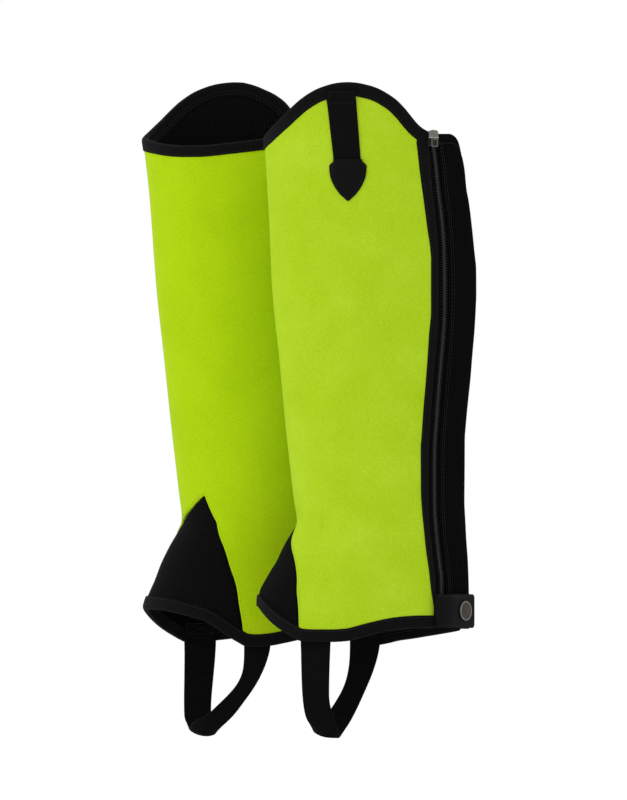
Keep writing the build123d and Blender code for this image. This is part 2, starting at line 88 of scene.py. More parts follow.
# --------------------------------------------------------------------------
# the leg form: an oval section that changes with height (mm)
# --------------------------------------------------------------------------
FRONT_OF = {
    "left": pchip([(-20, -90.6), (0, -87.8), (15, -86.2), (25.7, -85.2), (31.7, -84.8), (37.8, -83.4), (43.8, -80.3),
                   (48.3, -77.7), (52.9, -75.0), (60.4, -70.4), (68, -67.0), (75.5, -63.2), (83, -58.9), (86.1, -57.2),
                   (89.1, -55.9), (92.1, -55.4), (96.6, -56.0), (102.7, -57.2), (111.7, -58.4), (129.9, -60.3),
                   (148, -62.2), (166.1, -64), (184.2, -65.8), (202.3, -67.7), (220.5, -69.5), (238.6, -71.5),
                   (256.7, -73.1), (274.8, -74.3), (292.9, -75.1), (311.1, -76), (329.2, -77), (347.3, -77.9),
                   (365.4, -79), (379.8, -79.8), (400.2, -80.4), (430, -81.2)]),
    "right": pchip([(-20, -89.4), (0, -86.6), (15, -85.0), (22.6, -84.2), (30.2, -82.3), (37.8, -79.0), (45.3, -75.5),
                    (60.4, -69.4), (75.5, -61.8), (83, -57.4), (90.6, -53.9), (98, -54.2), (105.7, -55.2),
                    (143.5, -59.0), (181.2, -62.7), (219, -66.5), (256.7, -70.0), (294.5, -72.7), (332.2, -75.2),
                    (350, -76.6), (370, -78.6), (379.8, -79.8), (400.2, -80.4), (430, -81.2)])}
FRONT = FRONT_OF["left"]
BACK = pchip([(-20, 75), (9, 75), (37.8, 74.6), (60.4, 74), (75.5, 73), (90.6, 72.2), (105.7, 71.4), (151, 71.6),
              (162.3, 72.5), (181.2, 74.4), (196.3, 76), (215.2, 77.4), (234, 78.9), (249.2, 79.8), (264.3, 80.4),
              (279, 80.4), (294.4, 79), (309.6, 77.4), (332.2, 74.4), (339.7, 72.9), (354.9, 71.4), (360.1, 70.6),
              (370, 68.4), (377.5, 67.2), (382.8, 66.4), (400, 63.8), (430, 60)])
DEPTH = pchip([(-20, 50), (30, 50), (45, 49.7), (60, 49.3), (75, 49), (92, 48.9), (140, 48.6), (181, 48.2),
               (219, 47.6), (257, 47.2), (294, 47.4), (332, 48), (370, 48.6), (430, 48.4)])


def bump(phi, z, p0, z0, sp, sz, amount):
    return amount * np.exp(-(((phi - p0) / sp) ** 2) - ((z - z0) / sz) ** 2)


def relief(phi, z):
    """Soft hollows and swells of the worn cloth, outward mm (phi in degrees)."""
    r = bump(phi, z, 288, 300, 9, 26, -0.9)
    r += bump(phi, z, 262, 322, 8, 22, -0.6)
    r += bump(phi, z, 300, 150, 9, 60, -0.7)
    r += bump(phi, z, 246, 70, 12, 24, 0.7)
    r += bump(phi, z, 285, 52, 14, 12, -0.7)
    r += bump(phi, z, 258, 235, 16, 55, 0.5)
    r += bump(phi, z, 120, 150, 14, 26, -0.5)
    r += bump(phi, z, 100, 300, 18, 50, 0.4)
    r += 0.16 * np.sin(z / 17.0 + phi / 13.0) * np.sin(phi / 19.0 + 1.3)
    return r


def base(phi, z):
    a0, a1 = FRONT(z), BACK(z)
    cx, a, b = (a0 + a1) / 2, (a1 - a0) / 2, DEPTH(z)
    r = np.radians(phi)
    return np.stack([cx + a * np.cos(r), b * np.sin(r), z + 0 * r], -1)


def partials(phi, z):
    e = 0.5
    return (base(phi + e, z) - base(phi - e, z)) / (2 * e), (base(phi, z + e) - base(phi, z - e)) / (2 * e)


def normal(phi, z):
    u, v = partials(phi, z)
    n = np.cross(u, v)
    return n / np.linalg.norm(n, axis=-1, keepdims=True)


def surf(phi, z, o=0.0):
    """Point of the leg form at angle phi and height z, o mm outside it."""
    phi, z, o = np.broadcast_arrays(np.asarray(phi, float), np.asarray(z, float), np.asarray(o, float))
    return base(phi, z) + normal(phi, z) * (o + relief(phi, z))[..., None]


def phi_of(x, z, side):
    """Angle of the point of the form at side-view x: side -1 is the outer side, +1 the inner."""
    a0, a1 = FRONT(z), BACK(z)
    c = np.clip((x - (a0 + a1) / 2) / ((a1 - a0) / 2), -1, 1)
    d = np.degrees(np.arccos(c))
    return d if side > 0 else 360 - d


def step(phi, z, d, w):
    """Move w mm from (phi, z) on the form along the 3-D direction d."""
    u, v = partials(phi, z)
    uu, vv, uv = (u * u).sum(-1), (v * v).sum(-1), (u * v).sum(-1)
    du, dv = (d * u).sum(-1), (d * v).sum(-1)
    det = uu * vv - uv * uv
    return phi + w * (du * vv - dv * uv) / det, z + w * (dv * uu - du * uv) / det


# edges: height of the top and the foot rim round the form -------------------
DOME = [(-79.8, 380.4), (-77.0, 383.9), (-74.0, 387.3), (-66.4, 394.9), (-59.6, 401.7), (-52.9, 407.7), (-46.8, 411.9),
        (-40.8, 415.2), (-34.7, 417.5), (-28.7, 419.2), (-22.6, 420.2), (-16.6, 420.5), (-10.6, 420.1),
        (-4.5, 419.0), (1.5, 417.5), (7.5, 415.2), (13.6, 411.8), (19.6, 407.7), (23.4, 404.2), (27.2, 400.1),
        (30.2, 396.4), (33.2, 392.6), (37.0, 388.4), (40.8, 385.4), (45.3, 383.2), (49.8, 382.4)]
RIM = [(-78.4, 378.2), (-74.0, 376.6), (-66.4, 374.8), (-58.9, 373.7), (-48.3, 373.0), (-37.8, 373.0),
       (-26.4, 373.7), (-15.9, 374.8), (-3.0, 376.1), (9.8, 377.5), (23.4, 378.8), (37.8, 379.8), (52.9, 380.5),
       (58.5, 380.6)]
FOOT_OUT = [(-84.6, 25.4), (-81.5, 21.1), (-77.0, 15.9), (-72.5, 11.7), (-68.0, 8.3), (-61.9, 4.5), (-57.4, 1.9),
            (-52.9, 0.0), (-40.8, -0.8), (-28.7, -0.8), (-16.6, 0.0), (-4.5, 3.0), (7.5, 6.0), (16.6, 7.9),
            (26.4, 9.1), (36.2, 9.7), (46.8, 9.8), (59.6, 9.4)]
FOOT_IN = [(-84.0, 25.2), (-72.9, 24.5), (-64.9, 23.0), (-55.9, 20.8), (-46.1, 18.1), (-37.0, 15.1), (-30.2, 10.9),
           (-23.4, 6.0), (-18.1, 2.3), (-12.8, -0.8), (-6.8, -3.8), (2.3, -4.5), (12.1, -3.8), (22.6, -2.0),
           (32.5, 0.0), (46.1, 3.0), (59.6, 6.0), (66.0, 7.2)]

# the pair is not quite a mirror image: how far each edge of one gaiter lies above the shared outline
DOME_LIFT = {"left": pchip([(-90, 0), (60, 0)]),
             "right": pchip([(-80, 0), (-75, -1.5), (-63, -2.3), (-36, -1.5), (-22, -0.75), (-13.5, 0), (-4.4, 1.3), (4.6, 1.7),
                             (13.7, 2.7), (22.7, 4.7), (27.3, 6.2), (31, 6.8), (36, 6.0), (40.8, 3.6), (45.3, 1.5), (49.8, 0),
                             (60, 0)])}
HEEL_LIFT = {"left": pchip([(-90, 0), (-6.8, 0), (2.3, 0.9), (12.1, 1.6), (22.6, 2.2), (32.5, 1.6), (46.1, 0.8), (59.6, 0), (70, 0)]),
             "right": pchip([(-90, 0), (70, 0)])}
SOLE_LIFT = {"left": pchip([(-90, 0), (70, 0)]),
             "right": pchip([(-90, 0), (-52.9, 0), (-40.8, 0.4), (-28.7, 1.6), (-16.6, 2.0), (-4.5, 0.7), (7.5, 0), (70, 0)])}


def lifted(points, lift):
    return [(x, z + float(lift(x))) for x, z in points]


def round_the_form(outer, inner, middle):
    p = [(float(phi_of(x, z, -1)), z) for x, z in outer] + [(float(phi_of(x, z, 1)), z) for x, z in inner]
    p = [q for q in p if abs(q[0] - 180) > 4] + [(180.0, middle)]
    keep = []
    for q in sorted(p):
        if not keep or q[0] - keep[-1][0] > 0.8:
            keep.append(q)
    return pchip(keep)


TOP = round_the_form(lifted(DOME, DOME_LIFT["left"]), RIM, 379.2)
FOOT = round_the_form(lifted(FOOT_OUT, SOLE_LIFT["left"]), lifted(FOOT_IN, HEEL_LIFT["left"]), 25.6)

# the zip's line, and the lime panel's edge beside it (x at height z)
CHAIN = pchip([(9, 53.9), (19, 53.9), (45, 53.6), (60.4, 51.9), (75.5, 50.3), (87, 49.2), (98.2, 48.5), (121, 48.3),
               (132, 48.4), (143.5, 48.6), (154.8, 49.2), (166, 50), (188.8, 51.5), (211.4, 53.3), (222.7, 54.4),
               (234, 55.3), (245.4, 55.9), (262, 56.1), (279, 55.9), (290.7, 55.6), (302, 55.1), (313.3, 54.2),
               (324.7, 53), (336, 51.6), (347.3, 50.5), (358.6, 49.4), (373, 47.5), (382, 46.7), (390, 46.6)])
LIME_X = pchip([(17, 48.6), (22.6, 48.3), (37.8, 46.1), (52.9, 44.5), (68, 42.3), (83, 40.8), (98.2, 39.3),
                (113.2, 38.5), (143.4, 38.5), (154.8, 39.3), (177.4, 40.8), (196.3, 42.3), (218.9, 43.8),
                (230.3, 44.5), (249.2, 46.1), (286.9, 46.1), (294.4, 45.6), (309.6, 43.4), (332.2, 40.4),
                (354.9, 37.4), (369.9, 35.8), (377.5, 34.9), (386.6, 34.5), (395, 34.5)])


def zip_phi(z, off=0.0):
    """Angle of the line that runs off mm behind the zip's centre."""
    p = phi_of(CHAIN(z), z, -1)
    u, v = partials(p, z)
    return p + off / np.linalg.norm(u, axis=-1)


def zip_dir(z):
    """Along the zip, upwards, and square to it towards the heel."""
    e = 2.0
    a, b = surf(zip_phi(z - e), z - e), surf(zip_phi(z + e), z + e)
    t = (b - a) / np.linalg.norm(b - a, axis=-1, keepdims=True)
    n = normal(zip_phi(z), z)
    s = np.cross(t, n)
    return t, n, s / np.linalg.norm(s, axis=-1, keepdims=True)


HEEL = 26.0        # the inner panel's seam with the stretch panel, degrees


def bind_edge(z):
    """The zip-side edge of the binding, mm from the zip's centre."""
    return np.interp(z, [352, 378], [-4.6, -3.4])


# --------------------------------------------------------------------------
# left and right
# --------------------------------------------------------------------------
LEAN = math.radians(-0.7)
ROT = np.array([[math.cos(LEAN), 0, math.sin(LEAN)], [0, 1, 0], [-math.sin(LEAN), 0, math.cos(LEAN)]])
MIRROR = np.diag([1.0, -1.0, 1.0])
SHIFT = np.array([-87.2, 116.0, 0.0])


def place(p, side):
    p = np.asarray(p, float)
    if side == "right":
        p = (p @ MIRROR) @ ROT.T + SHIFT
    return p * MM


# --------------------------------------------------------------------------
# mesh helpers (mm in, metres out)
# --------------------------------------------------------------------------


def make(name, verts, faces, side, material, uv=None, smooth=True, sharp=None, keep_normals=False):
    me = bpy.data.meshes.new(name)
    me.from_pydata([tuple(v) for v in place(verts, side)], [], [tuple(int(i) for i in f) for f in faces])
    if uv is not None:
        layer = me.uv_layers.new(name="metric")
        idx = np.zeros(len(me.loops), np.int32)
        me.loops.foreach_get("vertex_index", idx)
        layer.data.foreach_set("uv", (np.asarray(uv, float)[idx] * MM).astype(np.float32).ravel())
    bm = bmesh.new()
    bm.from_mesh(me)
    bmesh.ops.recalc_face_normals(bm, faces=bm.faces)
    bm.to_mesh(me)
    bm.free()
    me.polygons.foreach_set("use_smooth", [smooth] * len(me.polygons))
    if sharp is not None:
        me.set_sharp_from_angle(angle=math.radians(sharp))
    ob = bpy.data.objects.new(name, me)
    bpy.context.scene.collection.objects.link(ob)
    me.materials.append(material)
    return ob


def grid_faces(m, n, start=0, wrap=False):
    f = []
    for i in range(m - 1):
        for j in range(n if wrap else n - 1):
            k = (j + 1) % n
            f.append((start + i * n + j, start + i * n + k, start + (i + 1) * n + k, start + (i + 1) * n + j))
    return f


def shell(name, phi, z, outer, inner, side, material, uv=None, edge=0.0, sharp=50):
    """Closed cloth piece over grids phi, z between two offsets; its rim is rounded by edge mm."""
    m, n = phi.shape
    out = np.broadcast_to(np.asarray(outer, float), phi.shape).copy()
    inn = np.broadcast_to(np.asarray(inner, float), phi.shape).copy()
    if edge:
        rim = np.zeros(phi.shape, bool)
        rim[0], rim[-1], rim[:, 0], rim[:, -1] = True, True, True, True
        out[rim] -= edge
        inn[rim] += edge
    a, b = surf(phi, z, out), surf(phi, z, inn)
    v = np.concatenate([a.reshape(-1, 3), b.reshape(-1, 3)])
    f = grid_faces(m, n) + [tuple(reversed(q)) for q in grid_faces(m, n, m * n)]
    o = m * n
    ring = [j for j in range(n)] + [i * n + n - 1 for i in range(1, m)] + [(m - 1) * n + j for j in range(n - 2, -1, -1)] \
        + [i * n for i in range(m - 2, 0, -1)]
    for k, i in enumerate(ring):
        j = ring[(k + 1) % len(ring)]
        f.append((i, j, j + o, i + o))
    if uv is None:
        uv = np.stack([np.radians(phi) * 62, z], -1)
    w = np.concatenate([uv.reshape(-1, 2), uv.reshape(-1, 2)])
    return make(name, v, f, side, material, w, sharp=sharp)


def tube(name, rows, side, material, closed=False, uv=None, sharp=None, caps=True):
    """rows: (m, k, 3), m sections of k points each, closed round the section."""
    m, k, _ = rows.shape
    f = grid_faces(m, k, wrap=True)
    if closed:
        f += [((m - 1) * k + j, (m - 1) * k + (j + 1) % k, (j + 1) % k, j) for j in range(k)]
    elif caps:
        f += [tuple(range(k - 1, -1, -1)), tuple((m - 1) * k + j for j in range(k))]
    return make(name, rows.reshape(-1, 3), f, side, material,
                None if uv is None else np.asarray(uv).reshape(-1, 2), sharp=sharp)


def join(name, obs):
    """Several meshes as one piece."""
    bm = bmesh.new()
    uv = any(o.data.uv_layers for o in obs)
    me = bpy.data.meshes.new(name)
    mats = []
    for o in obs:
        slots = []
        for mt in o.data.materials:
            if mt not in mats:
                mats.append(mt)
            slots.append(mats.index(mt))
        first = len(bm.faces)
        bm.from_mesh(o.data)
        bm.faces.ensure_lookup_table()
        for q in bm.faces[first:]:
            q.material_index = slots[q.material_index] if slots else 0
    bm.to_mesh(me)
    bm.free()
    for mt in mats:
        me.materials.append(mt)
    ob = bpy.data.objects.new(name, me)
    bpy.context.scene.collection.objects.link(ob)
    for o in obs:
        old = o.data
        bpy.data.objects.remove(o)
        bpy.data.meshes.remove(old)
    return ob


def stitches(name, pts, nrm, side, material, pitch=3.1, length=2.2, r=0.27, lift=0.1, jitter=0.06):
    """A row of thread stitches along pts (mm), lying on a surface with normals nrm."""
    pts, nrm = np.asarray(pts, float), np.asarray(nrm, float)
    s = np.concatenate([[0], np.cumsum(np.linalg.norm(np.diff(pts, axis=0), axis=1))])
    n = max(1, int(s[-1] / pitch))
    mid = (np.arange(n) + 0.5) * s[-1] / n
    rng = np.random.default_rng(7)
    mid = mid + rng.normal(0, jitter, n)
    at = lambda q: np.stack([np.interp(q, s, pts[:, k]) for k in range(3)], -1)
    an = lambda q: np.stack([np.interp(q, s, nrm[:, k]) for k in range(3)], -1)
    verts, faces = [], []
    ring = np.arange(6) * math.tau / 6
    prof = [(-0.5, 0.35, -0.5), (-0.36, 0.85, 0.0), (0.0, 1.0, 0.25), (0.36, 0.85, 0.0), (0.5, 0.35, -0.5)]
    for q in mid:
        a, b = at(q - length / 2), at(q + length / 2)
        t = b - a
        ln = np.linalg.norm(t)
        if ln < 1e-6:
            continue
        t = t / ln
        u = an(q)
        u = u - t * (u @ t)
        u = u / np.linalg.norm(u)
        w = np.cross(t, u)
        c = at(q) + u * lift
        k0 = len(verts)
        for along, rad, up in prof:
            for g in ring:
                verts.append(c + t * along * ln + w * math.cos(g) * r * rad + u * (math.sin(g) * r * rad + up * r))
        for i in range(len(prof) - 1):
            for j in range(6):
                k = (j + 1) % 6
                faces.append((k0 + i * 6 + j, k0 + i * 6 + k, k0 + (i + 1) * 6 + k, k0 + (i + 1) * 6 + j))
        faces.append(tuple(k0 + j for j in range(5, -1, -1)))
        faces.append(tuple(k0 + (len(prof) - 1) * 6 + j for j in range(6)))
    return make(name, np.array(verts), faces, side, material)


# --------------------------------------------------------------------------
# materials
# --------------------------------------------------------------------------
def nodes_of(name):
    m = bpy.data.materials.new(name)
    m.use_nodes = True
    nt = m.node_tree
    for n in list(nt.nodes):
        nt.nodes.remove(n)
    out = nt.nodes.new("ShaderNodeOutputMaterial")
    b = nt.nodes.new("ShaderNodeBsdfPrincipled")
    nt.links.new(b.outputs[0], out.inputs[0])
    return m, nt, b


def add(nt, kind, **kw):
    n = nt.nodes.new(kind)
    for k, v in kw.items():
        if k in ("operation", "blend_type", "data_type", "noise_dimensions", "wave_type", "bands_direction",
                 "feature", "attribute_name", "wave_profile", "uv_map", "interpolation_type", "clamp"):
            setattr(n, k, v)
        else:
            n.inputs[k].default_value = v
    return n


def link(nt, a, b):
    nt.links.new(a, b)


def mathn(nt, op, a, b=None, c=None):
    n = nt.nodes.new("ShaderNodeMath")
    n.operation = op
    for i, v in enumerate((a, b, c)):
        if v is None:
            continue
        if isinstance(v, (int, float)):
            n.inputs[i].default_value = v
        else:
            nt.links.new(v, n.inputs[i])
    return n.outputs[0]


def mix_color(nt, fac, a, b, blend="MIX"):
    n = nt.nodes.new("ShaderNodeMix")
    n.data_type = "RGBA"
    n.blend_type = blend
    for sock, v in ((n.inputs[0], fac), (n.inputs[6], a), (n.inputs[7], b)):
        if isinstance(v, (int, float)):
            sock.default_value = v
        elif isinstance(v, tuple):
            sock.default_value = (*v, 1.0) if len(v) == 3 else v
        else:
            nt.links.new(v, sock)
    return n.outputs[2]


def metric(nt):
    """UV map in metres, as separate sockets u, v and the vector."""
    uv = nt.nodes.new("ShaderNodeUVMap")
    uv.uv_map = "metric"
    sep = nt.nodes.new("ShaderNodeSeparateXYZ")
    nt.links.new(uv.outputs[0], sep.inputs[0])
    return sep.outputs[0], sep.outputs[1], uv.outputs[0]


def wave(nt, x, pitch):
    """0..1 cosine of a length in metres."""
    s = mathn(nt, "MULTIPLY", x, math.tau / pitch)
    return mathn(nt, "MULTIPLY_ADD", mathn(nt, "COSINE", s), 0.5, 0.5)


def noise(nt, vec, scale, detail=3.0, rough=0.55):
    n = nt.nodes.new("ShaderNodeTexNoise")
    n.inputs["Scale"].default_value = scale
    n.inputs["Detail"].default_value = detail
    n.inputs["Roughness"].default_value = rough
    if vec is not None:
        nt.links.new(vec, n.inputs["Vector"])
    return n.outputs[0]


def objco(nt):
    n = nt.nodes.new("ShaderNodeTexCoord")
    return n.outputs["Object"]


def ramp(nt, fac, stops):
    n = nt.nodes.new("ShaderNodeValToRGB")
    cr = n.color_ramp
    while len(cr.elements) < len(stops):
        cr.elements.new(0.5)
    for e, (p, c) in zip(cr.elements, stops):
        e.position = p
        e.color = (*c, 1.0) if len(c) == 3 else c
    nt.links.new(fac, n.inputs[0])
    return n.outputs[0]


def maprange(nt, v, a, b, c, d):
    n = nt.nodes.new("ShaderNodeMapRange")
    n.clamp = True
    nt.links.new(v, n.inputs[0])
    for i, q in enumerate((a, b, c, d)):
        n.inputs[i + 1].default_value = q
    return n.outputs[0]


def bumpn(nt, height, strength, distance, b, prev=None):
    n = nt.nodes.new("ShaderNodeBump")
    n.inputs["Strength"].default_value = strength
    n.inputs["Distance"].default_value = distance
    nt.links.new(height, n.inputs["Height"])
    if prev is not None:
        nt.links.new(prev, n.inputs["Normal"])
    if b is not None:
        nt.links.new(n.outputs[0], b.inputs["Normal"])
    return n.outputs[0]


def suede():
    """Microfibre suede face of the lime panels."""
    m, nt, b = nodes_of("lime_suede")
    co = objco(nt)
    attr = nt.nodes.new("ShaderNodeAttribute")
    attr.attribute_name = "outer_face_painted_sheen"
    nap = noise(nt, co, 26, 4, 0.6)          # brushed patches
    fine = noise(nt, co, 900, 3, 0.7)        # fibre grain
    grain = noise(nt, co, 2600, 2, 0.7)
    # the outer face takes a paler, bluer lime than the inner face: painted sheen
    inner = ramp(nt, nap, [(0.30, (0.375, 0.575, 0.0035)), (0.55, (0.402, 0.606, 0.0045)), (0.8, (0.425, 0.632, 0.007))])
    outer = ramp(nt, nap, [(0.30, (0.375, 0.565, 0.010)), (0.55, (0.405, 0.600, 0.017)), (0.8, (0.445, 0.640, 0.030))])
    col = mix_color(nt, attr.outputs["Fac"], inner, outer)
    dark = maprange(nt, fine, 0.35, 0.65, 0.90, 1.06)
    col2 = nt.nodes.new("ShaderNodeVectorMath")
    col2.operation = "SCALE"
    nt.links.new(col, col2.inputs[0])
    nt.links.new(dark, col2.inputs["Scale"])
    nt.links.new(col2.outputs[0], b.inputs["Base Color"])
    b.inputs["Roughness"].default_value = 0.92
    b.inputs["Specular IOR Level"].default_value = 0.03
    b.inputs["Sheen Weight"].default_value = 0.10
    b.inputs["Sheen Roughness"].default_value = 0.45
    b.inputs["Sheen Tint"].default_value = (0.90, 1.0, 0.55, 1)
    h = mathn(nt, "ADD", mathn(nt, "MULTIPLY", fine, 0.6), mathn(nt, "MULTIPLY", grain, 0.4))
    n1 = bumpn(nt, h, 0.35, 0.00025, None)
    bumpn(nt, nap, 0.15, 0.0008, b, n1)
    return m


def black_cloth(name, base, build, rough=0.85, sheen=0.15, spec=0.2, tint=(1, 1, 1)):
    m, nt, b = nodes_of(name)
    u, v, vec = metric(nt)
    h, shade = build(nt, u, v, vec)
    fleck = noise(nt, vec, 1400, 3, 0.6)
    c = maprange(nt, fleck, 0.3, 0.75, 0.75, 1.5)
    # shade darkens the base colour in the weave's grooves: painted shade; fleck varies the tone at random
    k = mathn(nt, "MULTIPLY", shade, c)
    rgb = nt.nodes.new("ShaderNodeVectorMath")
    rgb.operation = "SCALE"
    rgb.inputs[0].default_value = base
    nt.links.new(k, rgb.inputs["Scale"])
    nt.links.new(rgb.outputs[0], b.inputs["Base Color"])
    b.inputs["Roughness"].default_value = rough
    b.inputs["Specular IOR Level"].default_value = spec
    b.inputs["Sheen Weight"].default_value = sheen
    b.inputs["Sheen Roughness"].default_value = 0.5
    b.inputs["Sheen Tint"].default_value = (*tint, 1)
    n1 = bumpn(nt, h, 0.9, 0.00045, None)
    bumpn(nt, fleck, 0.35, 0.00015, b, n1)
    return m


def w_ribbed(nt, u, v, vec):
    """Ribs 2.2 mm apart along the length, fine crossing yarns."""
    rib = wave(nt, u, 0.0022)
    yarn = wave(nt, v, 0.0006)
    h = mathn(nt, "MULTIPLY_ADD", yarn, 0.22, rib)
    return h, maprange(nt, rib, 0.0, 1.0, 0.55, 1.35)


def w_webbing(nt, u, v, vec):
    """Woven elastic: fine lengthwise cords crossed by picks."""
    cord = wave(nt, u, 0.00115)
    pick = wave(nt, v, 0.0009)
    h = mathn(nt, "ADD", mathn(nt, "MULTIPLY", cord, 0.6), mathn(nt, "MULTIPLY", pick, 0.55))
    return h, maprange(nt, mathn(nt, "MULTIPLY", cord, pick), 0.0, 1.0, 0.6, 1.5)


def w_binding(nt, u, v, vec):
    """Fine plain weave of the folded tape."""
    a = wave(nt, mathn(nt, "ADD", u, v), 0.0009)
    c = wave(nt, mathn(nt, "SUBTRACT", u, v), 0.0009)
    h = mathn(nt, "MULTIPLY_ADD", a, 0.5, mathn(nt, "MULTIPLY", c, 0.5))
    return h, maprange(nt, h, 0.0, 1.0, 0.7, 1.25)


def w_knit(nt, u, v, vec):
    """Stretch knit: small chevrons in courses."""
    w = nt.nodes.new("ShaderNodeMath")
    w.operation = "PINGPONG"
    nt.links.new(u, w.inputs[0])
    w.inputs[1].default_value = 0.0008
    a = wave(nt, mathn(nt, "ADD", v, w.outputs[0]), 0.0012)
    c = wave(nt, u, 0.0016)
    h = mathn(nt, "MULTIPLY_ADD", a, 0.7, mathn(nt, "MULTIPLY", c, 0.3))
    return h, maprange(nt, h, 0.0, 1.0, 0.65, 1.3)


def w_twill(nt, u, v, vec):
    """Herringbone tape."""
    w = nt.nodes.new("ShaderNodeMath")
    w.operation = "PINGPONG"
    nt.links.new(u, w.inputs[0])
    w.inputs[1].default_value = 0.0012
    a = wave(nt, mathn(nt, "ADD", v, w.outputs[0]), 0.0008)
    return a, maprange(nt, a, 0.0, 1.0, 0.6, 1.4)


def leather():
    m, nt, b = nodes_of("black_leather")
    co = objco(nt)
    vor = nt.nodes.new("ShaderNodeTexVoronoi")
    vor.feature = "DISTANCE_TO_EDGE"
    vor.inputs["Scale"].default_value = 900
    nt.links.new(co, vor.inputs["Vector"])
    pore = maprange(nt, vor.outputs[0], 0.0, 0.25, 0.0, 1.0)
    worn = noise(nt, co, 120, 4, 0.6)
    rgb = ramp(nt, worn, [(0.3, (0.0012, 0.0012, 0.0013)), (0.6, (0.0022, 0.0021, 0.0021)), (0.85, (0.0060, 0.0057, 0.0054))])
    nt.links.new(rgb, b.inputs["Base Color"])
    nt.links.new(maprange(nt, worn, 0.3, 0.8, 0.5, 0.7), b.inputs["Roughness"])
    b.inputs["Specular IOR Level"].default_value = 0.08
    n1 = bumpn(nt, pore, 0.35, 0.00012, None)
    bumpn(nt, worn, 0.12, 0.0004, b, n1)
    return m


def metal(name, color, rough, scratch=0.12):
    m, nt, b = nodes_of(name)
    co = objco(nt)
    n = noise(nt, co, 700, 4, 0.6)
    st = noise(nt, co, 220, 2, 0.5)
    rgb = ramp(nt, st, [(0.3, tuple(c * 0.82 for c in color)), (0.6, color), (0.85, tuple(min(1, c * 1.12) for c in color))])
    nt.links.new(rgb, b.inputs["Base Color"])
    b.inputs["Metallic"].default_value = 1.0
    nt.links.new(maprange(nt, n, 0.3, 0.7, rough * 0.8, rough * 1.3), b.inputs["Roughness"])
    bumpn(nt, n, scratch, 0.00005, b)
    return m


def plastic(name, color, rough):
    m, nt, b = nodes_of(name)
    co = objco(nt)
    n = noise(nt, co, 1500, 3, 0.6)
    rgb = ramp(nt, n, [(0.3, tuple(c * 0.8 for c in color)), (0.7, tuple(c * 1.3 for c in color))])
    nt.links.new(rgb, b.inputs["Base Color"])
    nt.links.new(maprange(nt, n, 0.3, 0.7, rough * 0.85, rough * 1.2), b.inputs["Roughness"])
    b.inputs["Specular IOR Level"].default_value = 0.45
    bumpn(nt, n, 0.15, 0.00005, b)
    return m


M_LIME = suede()
M_BIND = black_cloth("binding_tape", (0.0030, 0.0030, 0.0032), w_binding, sheen=0.02, spec=0.07)
M_ELAS = black_cloth("ribbed_stretch", (0.0018, 0.0018, 0.0019), w_ribbed, sheen=0.0, spec=0.05)
M_WEB = black_cloth("woven_elastic", (0.0032, 0.0032, 0.0034), w_webbing, sheen=0.0, spec=0.07)
M_GUS = black_cloth("stretch_knit", (0.0022, 0.0022, 0.0023), w_knit, sheen=0.0, spec=0.06)
M_LINE = black_cloth("ribbed_lining", (0.0032, 0.0032, 0.0034), w_ribbed, sheen=0.0, spec=0.06)
M_TAPE = black_cloth("zip_twill", (0.0014, 0.0014, 0.0015), w_twill, sheen=0.0, spec=0.05)
M_THREAD = black_cloth("thread", (0.0062, 0.0062, 0.0066), w_binding, sheen=0.0, spec=0.22, rough=0.6)
M_LEATHER = leather()
M_COIL = plastic("coil_nylon", (0.034, 0.034, 0.036), 0.42)
# near-black copy of the coil nylon for the coil's legs: painted shade where they run onto the tape
M_LEGS_SHADED = plastic("coil_legs", (0.0045, 0.0045, 0.005), 0.6)
M_NICKEL = metal("dull_nickel", (0.185, 0.181, 0.160), 0.42)
# dark copy of the nickel for the slider's back plate and bridge: painted shade
M_SHADE = metal("slider_plates_painted_shade", (0.050, 0.048, 0.045), 0.5)
# the cap's sunk face is a much darker copy of the rim metal: painted dark reflection
M_STUD_FACE_REFLECTION = metal("stud_face_painted_reflection", (0.066, 0.052, 0.043), 0.42)
M_RIM = metal("stud_rim", (0.185, 0.182, 0.177), 0.30)
M_PULL = metal("pull_nickel", (0.105, 0.103, 0.098), 0.42)
# pale copy of the nickel for the slider's lower lip: painted highlight
M_LIP_HIGHLIGHT = metal("slider_lip_painted_highlight", (0.40, 0.39, 0.36), 0.35)

# --------------------------------------------------------------------------
# pieces
# --------------------------------------------------------------------------
NAMES = set(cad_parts)


def gusset_line():
    """Height of the lime panel's lower edge over the instep gusset, from its inner foot to its outer foot."""
    pts = [(float(phi_of(x, z, 1)), z) for x, z in
           [(-8.2, -3.6), (-8.6, 6.8), (-10.7, 22.6), (-12.7, 37.6), (-17.1, 52.9), (-21.5, 67.8), (-26.6, 83),
            (-32.4, 98.6), (-36.8, 109.9)]]
    left = pchip(pts)
    top = pts[-1]
    pts2 = [top] + [(float(phi_of(x, z, 1)), z) for x, z in [(-41.6, 106.0), (-47.2, 99.9), (-51.4, 95.0)]]
    pts2 += [(180.0, 91.4)] + [(float(phi_of(x, z, -1)), z) for x, z in
                               [(-56.2, 87.0), (-59.4, 77.6), (-57.6, 62), (-55.3, 43), (-54.5, 28), (-54.1, 15), (-53.7, 4)]]
    keep = []
    for q in sorted(pts2):
        if not keep or q[0] - keep[-1][0] > 0.8:
            keep.append(q)
    right = pchip(keep)
    lo, hi, mid = pts[0][0], keep[-1][0], top[0]

    def f(p):
        return np.where((p < lo) | (p > hi), -99.0, np.where(p < mid, left(p), right(p)))

    return f, lo, hi


GUS, GUS_LO, GUS_HI = gusset_line()


def lime_low(p):
    return np.maximum(FOOT(p) + 1.6, GUS(p))


